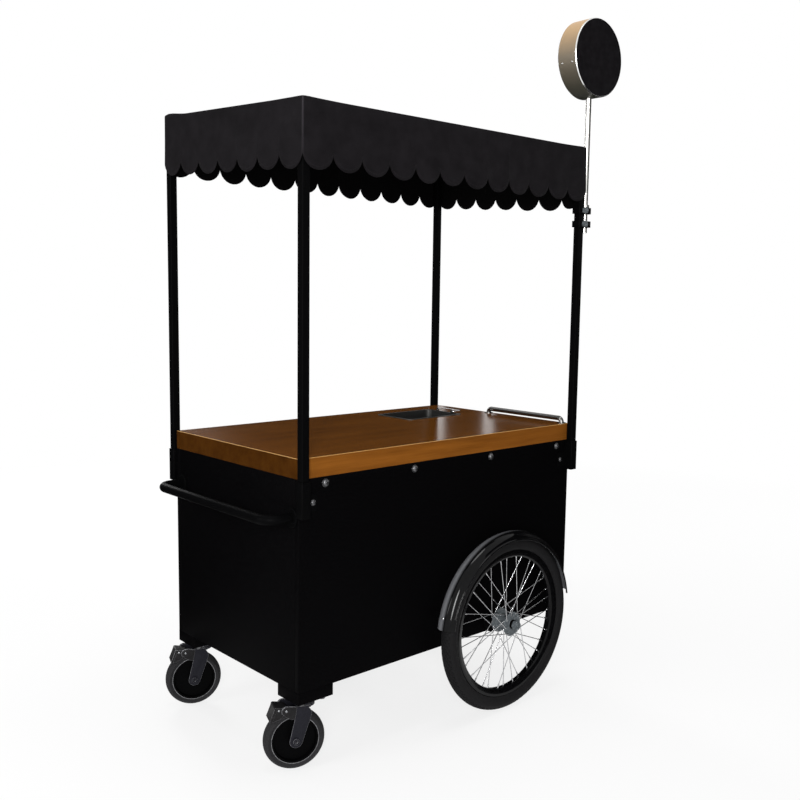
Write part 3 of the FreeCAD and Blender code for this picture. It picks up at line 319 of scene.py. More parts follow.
# Each plain finish: two colours that one noise runs between, its roughness range, grain size and bump;
# gloss is the specular level
plainFinishes = {
    "cabinetLacquer": {"colours": ((0.0009, 0.0008, 0.0010), (0.0018, 0.0017, 0.0019)), "rough": (0.48, 0.60),
                       "scale": 140, "bump": (0.06, 0.0004), "gloss": 0.012},
    "powderCoat": {"colours": ((0.0010, 0.0010, 0.0011), (0.0022, 0.0022, 0.0024)), "rough": (0.40, 0.52),
                   "scale": 900, "bump": (0.10, 0.0003), "gloss": 0.016},
    "fenderEnamel": {"colours": ((0.0012, 0.0012, 0.0014), (0.0022, 0.0022, 0.0026)), "rough": (0.05, 0.09),
                     "scale": 60, "bump": (0.01, 0.0003), "gloss": 0.15},
    "rimEnamel": {"colours": ((0.0014, 0.0014, 0.0016), (0.0026, 0.0026, 0.0030)), "rough": (0.12, 0.22),
                  "scale": 70, "bump": (0.03, 0.0003), "gloss": 0.15},
    "tyreRubber": {"colours": ((0.0058, 0.0056, 0.0060), (0.0100, 0.0097, 0.0103)), "rough": (0.60, 0.76),
                   "scale": 260, "bump": (0.22, 0.0006), "gloss": 0.08},
    "casterRubber": {"colours": ((0.0130, 0.0128, 0.0138), (0.0220, 0.0216, 0.0230)), "rough": (0.62, 0.76),
                     "scale": 320, "bump": (0.2, 0.0005), "gloss": 0.10},
    "casterPlastic": {"colours": ((0.0008, 0.0008, 0.0009), (0.0016, 0.0016, 0.0018)), "rough": (0.45, 0.60),
                      "scale": 420, "bump": (0.1, 0.0003), "gloss": 0.02},
    "forkPaint": {"colours": ((0.0062, 0.0062, 0.0092), (0.0108, 0.0107, 0.0152)), "rough": (0.40, 0.54),
                  "scale": 220, "bump": (0.1, 0.0004), "gloss": 0.12},
    "pedalSteel": {"colours": ((0.0064, 0.0060, 0.0065), (0.0125, 0.0119, 0.0127)), "rough": (0.40, 0.56),
                   "scale": 160, "bump": (0.14, 0.0005), "gloss": 0.12},
    # pale eased edges: wear, and a painted highlight along the edges
    "edgeWear": {"colours": ((0.10, 0.10, 0.105), (0.26, 0.26, 0.27)), "rough": (0.30, 0.46),
                 "scale": 260, "bump": (0.05, 0.0003), "metal": 0.7},
    "signGloss": {"colours": ((0.0060, 0.0054, 0.0062), (0.0090, 0.0082, 0.0094)), "rough": (0.20, 0.30),
                  "scale": 40, "bump": (0.02, 0.0003), "gloss": 0.05},
    # the canopy's inner face: a darker copy of the cloth, painted shade for its shaded underside
    "clothLining": {"colours": ((0.0016, 0.0015, 0.0016), (0.0030, 0.0028, 0.0030)), "rough": (0.82, 0.92),
                    "scale": 700, "bump": (0.2, 0.0004), "gloss": 0.02},
    "chromePlate": {"colours": ((0.72, 0.72, 0.735), (0.86, 0.86, 0.87)), "rough": (0.06, 0.16),
                    "scale": 90, "bump": (0.02, 0.0002), "metal": 1.0},
    "zincPlate": {"colours": ((0.19, 0.195, 0.205), (0.34, 0.345, 0.36)), "rough": (0.3, 0.48),
                  "scale": 180, "bump": (0.1, 0.0004), "metal": 1.0},
    "boltZinc": {"colours": ((0.075, 0.075, 0.078), (0.165, 0.165, 0.17)), "rough": (0.32, 0.46),
                 "scale": 200, "bump": (0.06, 0.0004), "metal": 1.0},
    "hubSteel": {"colours": ((0.080, 0.093, 0.101), (0.165, 0.184, 0.196)), "rough": (0.28, 0.44),
                 "scale": 110, "bump": (0.12, 0.0005), "metal": 0.3, "gloss": 0.4},
    "spokeSteel": {"colours": ((0.46, 0.46, 0.47), (0.66, 0.66, 0.67)), "rough": (0.14, 0.26),
                   "scale": 120, "bump": (0.03, 0.0002), "metal": 1.0},
    "railSteel": {"colours": ((0.17, 0.166, 0.160), (0.22, 0.216, 0.208)), "rough": (0.20, 0.28),
                  "scale": 8, "stretch": (30, 1, 30), "bump": (0.02, 0.0002), "metal": 1.0},
    "trackAnodised": {"colours": ((0.3, 0.3, 0.31), (0.4, 0.4, 0.41)), "rough": (0.35, 0.45),
                      "scale": 12, "stretch": (1, 60, 60), "bump": (0.05, 0.0003), "metal": 1.0},
    "stainlessBrushed": {"colours": ((0.46, 0.46, 0.45), (0.62, 0.62, 0.61)), "rough": (0.2, 0.34),
                         "scale": 14, "stretch": (60, 1, 60), "bump": (0.06, 0.0003), "metal": 1.0},
    # a darkened copy of the brushed stainless: painted shade for the ice well's shaded inside
    "wellSteel": {"colours": ((0.050, 0.050, 0.048), (0.085, 0.085, 0.082)), "rough": (0.34, 0.48),
                  "scale": 14, "stretch": (60, 1, 60), "bump": (0.06, 0.0003), "metal": 0.9},
    "bezelPolish": {"colours": ((0.74, 0.74, 0.73), (0.84, 0.84, 0.83)), "rough": (0.16, 0.26),
                    "scale": 60, "bump": (0.02, 0.0002), "metal": 1.0},
    "mastSatin": {"colours": ((0.72, 0.71, 0.68), (0.82, 0.81, 0.78)), "rough": (0.14, 0.22),
                  "scale": 12, "stretch": (60, 60, 1), "bump": (0.04, 0.0003), "metal": 1.0},
}
plainSpan = (0.35, 0.65)    # the noise's values at which the two colours are reached


def makePlain(name):
    spec = plainFinishes[name]
    tree, shader = newFinish(name, spec)
    cloud = addCloud(tree, spec["scale"], spec.get("stretch", (1, 1, 1)))
    setSurface(tree, shader, spec, addRamp(tree, cloud, list(zip(plainSpan, spec["colours"]))), cloud)


worktopLook = {
    "stops": [(0.28, (0.105, 0.034, 0.0045)), (0.5, (0.172, 0.058, 0.0075)), (0.74, (0.240, 0.084, 0.0110))],
    "grain": (1.1, 13, 13), "grainScale": 2.2, "fibre": (5, 260, 260), "fibreScale": 1.5, "fibreShare": 0.28,
    "gloss": 0.13, "rough": (0.13, 0.20), "bump": (0.05, 0.0003), "endGrain": (0.28, 0.28, 0.28),
    # arris is the colour of the painted highlight on the eased edges
    "arris": (0.52, 0.31, 0.11), "arrisTilt": (0.707, 0.25),
}


def makeWood():
    spec = worktopLook
    tree, shader = newFinish("worktopWood", spec)
    grain = addCloud(tree, spec["grainScale"], spec["grain"], detail=8)
    fibre = addCloud(tree, spec["fibreScale"], spec["fibre"], detail=3)
    both = addNode(tree, "Mix", {"Factor": spec["fibreShare"], "A": grain, "B": fibre}, data_type="FLOAT")
    planks = addRamp(tree, both["Result"], spec["stops"])
    facing = addAxes(tree, coordsOf(tree, "Normal"))
    # the two ends are darker, as end grain is, and the eased edges are painted paler: a painted highlight
    # along the arris
    darker = addLayer(tree, reckon(tree, "ABSOLUTE", facing["X"]), planks, spec["endGrain"], "MULTIPLY")
    paintedHighlight = addLayer(tree, reckon(tree, "COMPARE", facing["Z"], *spec["arrisTilt"]), darker, spec["arris"])
    setSurface(tree, shader, spec, paintedHighlight, fibre)


signPaintedLightLook = {
    "stops": [(0.0, (0.044, 0.045, 0.034)), (0.45, (0.205, 0.172, 0.128)), (1.0, (0.500, 0.310, 0.140))],
    "metal": 0.35, "gloss": 0.3, "rough": (0.34, 0.46), "grain": (60, 1.5, 60), "grainScale": 9,
    "bump": (0.02, 0.0002),
}


def makeSignSatinPaintedLight():
    # satin bronze painted lighter and warmer at the top and darker and greyer at the bottom: painted light
    # and shade
    spec = signPaintedLightLook
    tree, shader = newFinish("signSatin", spec)
    low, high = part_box("sign_drum")
    share = addSpread(tree, addAxes(tree, coordsOf(tree, "Object"))["Z"], 0, 1, low.z, high.z)
    grain = addCloud(tree, spec["grainScale"], spec["grain"], detail=3)
    setSurface(tree, shader, spec, addRamp(tree, share, spec["stops"]), grain)


clothLook = {
    "colours": ((0.0066, 0.0059, 0.0067), (0.0110, 0.0099, 0.0112)), "mottle": 16, "mottleSpan": (0.3, 0.7),
    "weave": 900, "weaveShare": 0.35, "bump": (0.25, 0.0005), "rough": 0.86, "gloss": 0.02,
    "sheen": 0.008, "sheenRough": 0.5,
    "stitchHeight": 0.009, "stitchWidth": 0.0012, "stitchPitch": 160, "stitchGap": -0.3,
    "thread": (0.0135, 0.0122, 0.0137), "rub": (0.034, 0.031, 0.035), "foldHighlightWidth": 0.006, "foldHighlightAtHem": 0.15,
}


def makeCloth():
    # plain weave and a stitched hem, on the sheet's own map: metres along the edge, metres above the hem
    spec = clothLook
    tree, shader = newFinish("canopyCloth", spec)
    chart, corner = (addAxes(tree, addNode(tree, "UVMap", uv_map=chartName)["UV"])
                     for chartName in ("clothMap", "creaseMap"))

    def ripple(axis, pitch):
        return reckon(tree, "SINE", reckon(tree, "MULTIPLY", chart[axis], pitch * 2 * math.pi))

    weave = reckon(tree, "MULTIPLY", ripple("X", spec["weave"]), ripple("Y", spec["weave"]))
    near = reckon(tree, "COMPARE", chart["Y"], spec["stitchHeight"], spec["stitchWidth"])
    dash = reckon(tree, "GREATER_THAN", ripple("X", spec["stitchPitch"]), spec["stitchGap"])
    stitch = reckon(tree, "MULTIPLY", near, dash)
    # the fold at each corner post is painted paler: a painted highlight along the crease
    fold = addSpread(tree, corner["X"], 1, 0, 0, spec["foldHighlightWidth"], smooth=True)
    paintedHighlight = reckon(tree, "MULTIPLY", fold, addSpread(tree, corner["Y"], 1, spec["foldHighlightAtHem"]))
    mottle = addCloud(tree, spec["mottle"], detail=6)
    tint = addRamp(tree, mottle, list(zip(spec["mottleSpan"], spec["colours"])))
    tint = addLayer(tree, paintedHighlight, tint, spec["rub"])
    tint = addLayer(tree, stitch, tint, spec["thread"])
    relief = reckon(tree, "ADD", reckon(tree, "MULTIPLY", weave, spec["weaveShare"]), stitch)
    setInputs(shader, {"Base Color": tint, "Roughness": spec["rough"], "Sheen Weight": spec["sheen"],
                       "Sheen Roughness": spec["sheenRough"], "Normal": addBump(tree, relief, *spec["bump"])})


# the colour of the fender's painted reflection, and the normals over which it is laid
fenderReflectionLook = {"paintedReflection": (0.155, 0.158, 0.168), "turnedIn": (0.26, -0.08), "ahead": (0.75, -0.75)}


def paintFenderReflection():
    # painted reflection: the side turned to the cabinet is painted a paler grey, most at its lower front,
    # standing for a sheen on the crown
    tree = finishes["fenderEnamel"].node_tree
    shader = tree.nodes["Principled BSDF"]
    facing, place = (addAxes(tree, coordsOf(tree, kind)) for kind in ("Normal", "Object"))
    outward = reckon(tree, "MULTIPLY", reckon(tree, "SIGN", place["Y"]), facing["Y"])
    shares = [addSpread(tree, source, 0, 1, *fenderReflectionLook[key], smooth=True)
              for source, key in ((outward, "turnedIn"), (facing["X"], "ahead"))]
    enamel = shader.inputs["Base Color"].links[0].from_socket
    withPaintedReflection = addLayer(tree, reckon(tree, "MULTIPLY", *shares), enamel, fenderReflectionLook["paintedReflection"])
    setInputs(shader, {"Base Color": withPaintedReflection})


for name in plainFinishes:
    makePlain(name)
paintFenderReflection()
makeWood()
makeCloth()
makeSignSatinPaintedLight()
print("finishes made:", len(finishes))


def dressNode(finish, *names):
    for name in names:
        mesh = cadNodes[name].data
        mesh.materials.clear()
        mesh.materials.append(finishes[finish])


# Cabinet, worktop and what is let into it

cabinetSettings = {
    "boards": ("front_panel", "left_panel", "right_panel", "rear_frame", "floor_panel", "shelf",
               "caster_blocks", "service_door"),
    "arris": 0.0012, "onBox": 1e-5,
}


def makeCabinet():
    spec = cabinetSettings
    dressNode("worktopWood", "worktop")
    for node in spec["boards"]:
        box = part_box(node)

        def outside(edge):
            # both ends are on the board's own box, in depth and in height
            return all(any(abs(v.co[i] - corner[i]) < spec["onBox"] for corner in box)
                       for v in edge.verts for i in (1, 2))

        easeNode(node, node + "_board", "cabinetLacquer", spec["arris"],
                 only=None if node == "caster_blocks" else outside)
    dressNode("trackAnodised", "door_tracks")
    # the ice well and its strainer take the darkened stainless, painted shade
    dressNode("wellSteel", "ice_well", "well_strainer")
    dressNode("stainlessBrushed", "door_pull")


railSettings = {"radius": 0.009, "bend": 0.014, "sides": 24, "foot": 0.017, "footDepth": 0.002,
                "footEdge": 0.0012, "footEase": 0.0015, "footSteps": 32}


def makeGalleryRail():
    spec = railSettings
    low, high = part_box("gallery_rail")
    radius, bend, foot, depth = spec["radius"], spec["bend"], spec["foot"], spec["footDepth"]
    x = (low.x + high.x) / 2
    front, back = low.y + foot, high.y - foot
    rise = high.z - radius - low.z - bend
    bm = bmesh.new()
    addTube(bm, (x, front, low.z), zAxis, [rise, back - front - 2 * bend, rise], [yAxis, -zAxis], bend,
            radius, spec["sides"])
    for y in (front, back):
        addSpin(bm, [(0, 0), (foot, 0), (foot, spec["footEdge"]), (foot - spec["footEase"], depth),
                     (radius, depth), (0, depth)], (x, y, low.z), zAxis, spec["footSteps"])
    linkPiece("gallery_rail_tube", bm, "railSteel", "gallery_rail")


dropHandle = {"wire": 0.003, "bend": 0.005, "pin": 0.014, "sides": 16}


def makeDropHandle():
    low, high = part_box("well_handle")
    wire, bend, pin = dropHandle["wire"], dropHandle["bend"], dropHandle["pin"]
    pivot, reach = low.x + wire, high.x - wire
    z = (low.z + high.z) / 2
    near, far = low.y + wire, high.y - wire
    leg = reach - pivot - 2 * bend
    bm = bmesh.new()
    addTube(bm, (pivot, near + pin, z), -yAxis, [pin - bend, leg, far - near - 2 * bend, leg, pin - bend],
            [xAxis, yAxis, -xAxis, -yAxis], bend, wire, dropHandle["sides"])
    linkPiece("well_handle_bail", bm, "chromePlate", "well_handle")


# each screw: radius, height, rim and steps
pushHandle = {"radius": 0.015, "bend": 0.042, "sides": 28, "foot": 0.031, "footDepth": 0.006,
              "footEase": 0.0015, "footSteps": 40, "screws": 3, "screwCircle": 0.023,
              "screw": (0.0038, 0.0022, 0.0005, 14)}


def makePushHandle():
    spec = pushHandle
    low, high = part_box("push_handle")
    radius, bend, foot = spec["radius"], spec["bend"], spec["foot"]
    depth, ease = spec["footDepth"], spec["footEase"]
    wall, bar = high.x, low.x + radius
    z = (low.z + high.z) / 2
    near, far = low.y + foot, high.y - foot
    bm, screws = bmesh.new(), bmesh.new()
    leg = wall - bar - bend
    addTube(bm, (wall, near, z), -xAxis, [leg, far - near - 2 * bend, leg], [yAxis, xAxis], bend,
            radius, spec["sides"])
    for y in (near, far):
        addSpin(bm, [(0, 0), (foot, 0), (foot, depth - ease), (foot - ease, depth), (0, depth)],
                (wall, y, z), -xAxis, spec["footSteps"])
        for k in range(spec["screws"]):
            across, up = onCircle(spec["screwCircle"], 90 + 360 / spec["screws"] * k)
            addDome(screws, (wall - depth, y + across, z + up), -xAxis, *spec["screw"])
    linkPiece("push_handle_bar", bm, "powderCoat", "push_handle")
    linkPiece("push_handle_screws", screws, "powderCoat", "push_handle", covers=())


boltSettings = {"domeShare": 0.36, "hexHeight": 0.006}


def makeBolts():
    bm = bmesh.new()
    for low, high in looseBoxes("cabinet_bolts"):
        middle, size = (low + high) / 2, high - low
        if size.z > size.y:    # hex bolts stand upright in the caster plates
            height = boltSettings["hexHeight"]
            place = Matrix.Translation((middle.x, middle.y, low.z + height / 2))
            bmesh.ops.create_cone(bm, cap_ends=True, segments=6, radius1=size.x / 2, radius2=size.x / 2,
                                  depth=height, matrix=place)
        else:
            side = math.copysign(1, middle.y)
            height = boltSettings["domeShare"] * size.x
            tip = low.y if side < 0 else high.y
            addSocketHead(bm, (middle.x, tip - side * height, middle.z), yAxis * side, size.x / 2, height)
    linkPiece("cabinet_bolt_heads", bm, "boltZinc", "cabinet_bolts")


makeCabinet()
makeBolts()
makeGalleryRail()
makeDropHandle()
makePushHandle()
print("cabinet and worktop dressed")


# Posts and canopy

dressNode("powderCoat", "canopy_rails", "axle_flanges", "fender_stays")
postSettings = {"names": ("front_left", "front_right", "rear_left", "rear_right"), "corner": 0.0016,
                "longEdge": 1.0, "socketEdge": 0.0008}


def makePosts():
    spec = postSettings
    for name in spec["names"]:
        easeNode("post_" + name, "post_%s_tube" % name, "powderCoat", spec["corner"], segments=3,
                 only=lambda e: e.calc_length() > spec["longEdge"])
    easeNode("post_sockets", "post_socket_brackets", "powderCoat", spec["socketEdge"])


canopySettings = {
    "drop": 0.150, "scallop": 0.046, "frontScallops": 12, "endScallops": 7, "columns": 12, "rows": 14,
    "rowBunch": 1.5, "thick": 0.0016, "roofThick": 0.002, "sag": 0.007, "frontPeak": 0.005, "rearPeak": 0.013,
    "peakReach": 0.14, "peakRound": 0.026, "postReach": 0.10, "fold": 0.0034, "uneven": 0.14,
    "rearSlack": 0.022, "rightSlack": 0.034, "slackReach": 0.09, "hemFlare": 0.002, "waveGrowth": 1.3,
    "raggedStep": 1.7, "raggedPlace": 0.4,    # the scallops' own steps and place in the noise
    # each wave: its height, its turns along the edge and down the hem, and its place in the noise
    "waves": [(0.006, 6.5, 1.2, 3.1), (0.0036, 19, 1, 7.7)],
    # where the ends and the roof lie in the cloth's map, clear of the long hems
    "endChart": 10, "roofChart": 20, "onEdge": 1e-4,
}


def makeCanopy():
    spec = canopySettings
    low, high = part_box("canopy_roof")
    halfX, halfY = (high.x - low.x) / 2, (high.y - low.y) / 2
    middle = Vector(((low.x + high.x) / 2, (low.y + high.y) / 2, 0))
    frontTop, rearTop = low.z + spec["roofThick"], high.z
    counts = (spec["frontScallops"], spec["endScallops"])
    bm = bmesh.new()
    chart = bm.loops.layers.uv.new("clothMap")
    crease = bm.loops.layers.uv.new("creaseMap")
    bmesh.ops.create_grid(bm, x_segments=counts[0] * spec["columns"],
                          y_segments=counts[1] * spec["columns"], size=1)

    def bunched(value, count):
        # closer columns at the scallops' cusps
        place = (value + 1) / 2 * count
        whole = min(math.floor(place + 1e-6), count - 1)
        return (whole + (1 - math.cos(math.pi * (place - whole))) / 2) / count * 2 - 1

    def roofHeight(y):
        return frontTop + (rearTop - frontTop) * (y + halfY) / (2 * halfY)

    for v in bm.verts:
        u, w = bunched(v.co.x, counts[0]), bunched(v.co.y, counts[1])
        # the cloth sags between the bars, and the posts hold its corners up
        bay = 1 - (2 * abs(u) - 1) ** 2
        sag = spec["sag"] * bay * (1 - w * w)
        gaps = (halfX * (1 - abs(u)), halfY * (1 - abs(w)))
        lift = max(0, 1 - math.hypot(*gaps) / spec["peakReach"])
        for gap in gaps:
            lift *= math.sqrt(1 - (1 - min(1, gap / spec["peakRound"])) ** 2)    # round over the edge
        peak = spec["rearPeak"] if w > 0 else spec["frontPeak"]
        z = roofHeight(w * halfY) - sag + peak * lift
        v.co = middle + Vector((u * halfX, w * halfY, z))

    def scallopDrop(place, count, length):
        width = length / count
        across = (place / width) % 1 - 0.5
        radius = (width * width / 4 + spec["scallop"] ** 2) / (2 * spec["scallop"])
        reach = math.sqrt(max(radius * radius - (across * width) ** 2, 0)) - (radius - spec["scallop"])
        step = math.floor(place / width) * spec["raggedStep"]
        ragged = 0.5 + 0.5 * noise.noise(Vector((step, length, spec["raggedPlace"])))
        return max(reach, 0) * (1 - spec["uneven"] * ragged)

    def slackOf(x, y):
        # the rear hem hangs lower towards the right, and the right end's lowest of all
        if halfY - y < spec["onEdge"]:
            return spec["rearSlack"] * (x + halfX) / (2 * halfX)
        if halfX - x > spec["onEdge"]:
            return 0
        share = (y + halfY) / (2 * halfY)
        slack = spec["rightSlack"] + (spec["rearSlack"] - spec["rightSlack"]) * share
        return slack * min(1, (y + halfY) / spec["slackReach"])

    def hemOf(at):
        # how far the hem hangs below the roof's edge, which way is out, and the place along the edge
        x, y = at.x - middle.x, at.y - middle.y
        onEnd, onSide = abs(abs(x) - halfX) < spec["onEdge"], abs(abs(y) - halfY) < spec["onEdge"]
        if onSide:
            drop, along = scallopDrop(x + halfX, counts[0], 2 * halfX), x + halfX
        else:
            drop, along = scallopDrop(y + halfY, counts[1], 2 * halfY), spec["endChart"] + y + halfY
        out = Vector((math.copysign(onEnd, x), math.copysign(onSide, y), 0)).normalized()
        return spec["drop"] + drop + slackOf(x, y), out, along

    def toCorner(at):
        return math.hypot(halfX - abs(at.x - middle.x), halfY - abs(at.y - middle.y))

    edges = [e for e in bm.edges if e.is_boundary]
    tops = {v: (v.co.copy(), *hemOf(v.co)) for e in edges for v in e.verts}
    depth = {v: 0.0 for v in tops}
    origin = {v: v for v in tops}
    for row in range(1, spec["rows"] + 1):
        share = (row / spec["rows"]) ** spec["rowBunch"]    # closer rows near the roof's edge
        made = bmesh.ops.extrude_edge_only(bm, edges=edges)["geom"]
        newVerts = set(vertsOf(made))
        above = {v: origin[e.other_vert(v)] for v in newVerts for e in v.link_edges
                 if e.other_vert(v) in origin}
        for v in newVerts:
            origin[v], depth[v] = above[v], share
            top, hem, out, along = tops[above[v]]
            wave = sum(height * noise.noise(Vector((along * turns, share * down, place)))
                       for height, turns, down, place in spec["waves"])
            wave *= min(1, toCorner(top) / spec["postReach"])    # the posts hold the corners still
            swing = wave * share ** spec["waveGrowth"] + spec["hemFlare"] * share ** 2
            v.co = top - zAxis * hem * share + out * swing
        edges = [e for e in edgesOf(made) if newVerts.issuperset(e.verts)]
    for face in bm.faces:
        for loop in face.loops:
            v = loop.vert
            if v in origin and (origin[v] is not v or abs(face.normal.z) < 0.5):
                top, hem, out, along = tops[origin[v]]
                loop[chart].uv = (along, hem * (1 - depth[v]))
                loop[crease].uv = (toCorner(top), depth[v])
            else:
                loop[chart].uv = (v.co.x + spec["roofChart"], v.co.y + spec["roofChart"])
                loop[crease].uv = (1, 0)
    for v in bm.verts:
        # the cloth turns down over the bars in a soft fold
        flat, hem = tops[origin[v]][:2] if v in origin else (v.co.copy(), 0)
        radius = spec["fold"]
        gaps = (halfX - abs(flat.x - middle.x), halfY - abs(flat.y - middle.y), hem * depth.get(v, 0))
        over = Vector([max(0, radius - gap) for gap in gaps])
        if over.length > radius:
            inward = over * (1 - radius / over.length)
            inward.x = math.copysign(inward.x, flat.x - middle.x)
            inward.y = math.copysign(inward.y, flat.y - middle.y)
            v.co -= inward
    bmesh.ops.recalc_face_normals(bm, faces=bm.faces)
    flatArea = sum(face.calc_area() for face in bm.faces)
    sheet = linkPiece("canopy_cloth", bm, ("canopyCloth", "clothLining"), "canopy_roof",
                      ["canopy_roof", "valance_front", "valance_rear", "valance_left", "valance_right"],
                      sharp=60)
    # the sheet's inner face takes the darker lining, painted shade
    wall = sheet.modifiers.new("cloth", "SOLIDIFY")
    wall.thickness, wall.offset, wall.material_offset = spec["thick"], -1, 1


makePosts()
makeCanopy()
print("posts and canopy made")


# Spoked wheels and fenders

wheelSettings = {
    "section": 0.027, "sectionSteps": 40, "bead": 0.048, "steps": 180, "knob": 0.0014, "knobInset": 0.0006,
    "knobMargin": 8, "treadAngle": 46, "rib": 0.0007, "ribAngles": (74, 82),
    "rimDepth": 0.027, "rimHalf": 0.017, "rimInnerHalf": 0.011, "rimSteps": 144,
    # the rim's section: in from its edge and side, then out from its inner edge and in from its narrow side
    "rimOuter": [(0, 0.002), (0.002, 0), (0.010, 0), (0.0115, 0.0006)],
    "rimInner": [(0.007, -0.0032), (0.004, -0.0018), (0.001, 0.001), (0, 0.005)],
}


def makeTyre(name):
    spec = wheelSettings
    node = "wheel_tyre_" + name
    low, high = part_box(node)
    centre = (low + high) / 2
    radius, section, count = (high.z - low.z) / 2, spec["section"], spec["sectionSteps"]
    ring = radius - section
    bead = math.degrees(math.acos((radius - spec["bead"] - ring) / section))
    points = []
    for k in range(count + 1):
        angle = -bead + 2 * bead * k / count
        reach = section
        if abs(angle) < spec["treadAngle"] + spec["knobMargin"]:
            reach -= spec["knob"]
        if spec["ribAngles"][0] < abs(angle) < spec["ribAngles"][1]:
            reach += spec["rib"]
        out, side = onCircle(reach, angle)
        points.append((ring + out, side))
    bm = bmesh.new()
    addSpin(bm, points, centre, yAxis, spec["steps"], closed=True)
    step = 2 * math.pi / spec["steps"]
    knobs = []
    for face in bm.faces:
        at = face.calc_center_median() - centre
        across = math.degrees(math.atan2(at.y, math.hypot(at.x, at.z) - ring))
        if abs(across) < spec["treadAngle"]:
            turn = math.floor(math.atan2(at.z, at.x) / step)
            row = math.floor((across + spec["treadAngle"]) / (2 * bead / count))
            if (turn + row // 2) % 2 == 0:
                knobs.append(face)
    bmesh.ops.inset_individual(bm, faces=knobs, thickness=spec["knobInset"], depth=spec["knob"])
    linkPiece("tyre_" + name, bm, "tyreRubber", node, sharp=40)


def makeRim(name):
    spec = wheelSettings
    node = "wheel_rim_" + name
    low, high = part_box(node)
    outer = (high.z - low.z) / 2
    inner = outer - spec["rimDepth"]
    half = [(outer - depth, spec["rimHalf"] - side) for depth, side in spec["rimOuter"]]
    half += [(inner + depth, spec["rimInnerHalf"] - side) for depth, side in spec["rimInner"]]
    bm = bmesh.new()
    addSpin(bm, mirrored(half), (low + high) / 2, yAxis, spec["rimSteps"], closed=True)
    linkPiece("rim_" + name, bm, "rimEnamel", node, sharp=30)


hubSettings = {
    "near": 0.0255, "far": 0.0285, "edge": 0.001, "ease": 0.0008, "waist": 0.0205, "steps": 72,
    # radius and distance: in from the hub's end, out from the flange's far face, and in from its near face
    "cap": [(0.01005, 0), (0.0145, 0), (0.016, 0.0015)],
    "neck": [(0.016, 0.001), (0.017, 0)],
    "barrel": [(0.026, 0), (0.0235, 0.0015), (0.022, 0.005)],
}


def makeHub(name):
    spec = hubSettings
    node = "wheel_hub_" + name
    low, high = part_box(node)
    centre = (low + high) / 2
    half, flange = (high.y - low.y) / 2, (high.x - low.x) / 2
    near, far, edge, ease = spec["near"], spec["far"], spec["edge"], spec["ease"]
    profile = [(r, half - a) for r, a in spec["cap"]] + [(r, far + a) for r, a in spec["neck"]]
    profile += [(flange - edge, far), (flange, far - ease), (flange, near + ease), (flange - edge, near)]
    profile += [(r, near - a) for r, a in spec["barrel"]] + [(spec["waist"], 0)]
    bm = bmesh.new()
    addSpin(bm, mirrored(profile), centre, yAxis, spec["steps"], closed=True)
    for face in bm.faces:
        face.material_index = int(abs(face.calc_center_median().y - centre.y) > far + ease)    # dust caps
    linkPiece("hub_" + name, bm, ("hubSteel", "casterPlastic"), node, sharp=30)


fenderSettings = {"start": 10, "end": 172, "bead": 0.003, "crown": 0.025, "sheet": 0.0016, "steps": 90,
                  "arcSteps": 12, "rollAngles": range(10, 301, 29),
                  "boltAngles": (11, 15, 165), "bolt": (0.0045, 0.0028), "boltSink": 0.0002}


def makeFender(name):
    spec = fenderSettings
    node = "fender_" + name
    low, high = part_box(node)
    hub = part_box("wheel_hub_" + name)
    centre = (hub[0] + hub[1]) / 2
    bead, sheet, count = spec["bead"], spec["sheet"], spec["arcSteps"]
    half = (high.y - low.y) / 2 - bead + sheet / 2
    crown = high.z - centre.z
    curve = (half * half + spec["crown"] ** 2) / (2 * spec["crown"])    # radius of the section's arc
    span = math.asin(half / curve)

    def arc(radius):
        return [(crown - curve + radius * math.cos(span * k / count), radius * math.sin(span * k / count))
                for k in range(1 - count, count)]

    def roll(side):
        # rolled edge: most of a circle, from the sheet's outer face round to its inner face
        circle = [onCircle(bead, angle) for angle in spec["rollAngles"]]
        return [(crown - spec["crown"] + out, side * (half - sheet / 2 + along)) for out, along in circle]

    profile = arc(curve) + roll(1) + arc(curve - sheet)[::-1] + roll(-1)[::-1]
    bm = bmesh.new()
    addSpin(bm, profile, centre, -yAxis, spec["steps"], spec["end"] - spec["start"], spec["start"],
            closed=True)
    linkPiece("fender_sheet_" + name, bm, "fenderEnamel", node, sharp=40)
    bolts = bmesh.new()
    for angle in spec["boltAngles"]:
        out = radial(angle)
        addDome(bolts, centre + out * (crown - spec["boltSink"]), out, *spec["bolt"])
    linkPiece("fender_bolts_" + name, bolts, "chromePlate", "cabinet_bolts", covers=())


for name in pairNames:
    makeTyre(name)
    makeRim(name)
    makeHub(name)
    makeFender(name)
dressNode("spokeSteel", "wheel_spokes_front", "wheel_spokes_rear")
dressNode("hubSteel", "wheel_axle")
print("spoked wheels and fenders made")


# Casters

casterSettings = {
    "ease": 0.0011, "axleEase": 0.0005, "seatSlack": 0.001,
    "lip": 0.0009, "lipProud": 0.0005, "lipDepth": 0.001, "lipSteps": 72,
    # each rivet: radius, height, rim and steps
    "rivet": (0.0036, 0.0016, 0.0003, 16), "rivetGap": 0.0001, "flangeRivet": (0.021, 0.002),
    # outlines out and up from the pedal's pin; each plate lies between two distances from the wheel's middle
    "cheek": [(-0.0330, 0.0088), (-0.002, 0.0138), (0.008, 0.0113), (0.0135, 0.004), (0.0135, -0.004),
              (0.009, -0.0107), (0.001, -0.0182), (-0.012, -0.0257), (-0.022, -0.0282), (-0.0265, -0.0277)],
    "cheekSpan": (0.0310, 0.0324),
    "flange": [(-0.004, -0.005), (0.000, 0.0055), (0.030, 0.0110), (0.0345, 0.008), (0.0485, -0.030),
               (0.044, -0.0335), (0.017, -0.025)],
    "flangeSpan": (0.0240, 0.0252), "plateCorner": 0.0022, "cornerLeast": 20, "cornerSteps": 3,
    "plateEase": 0.0005, "alongAxle": 0.99,
}


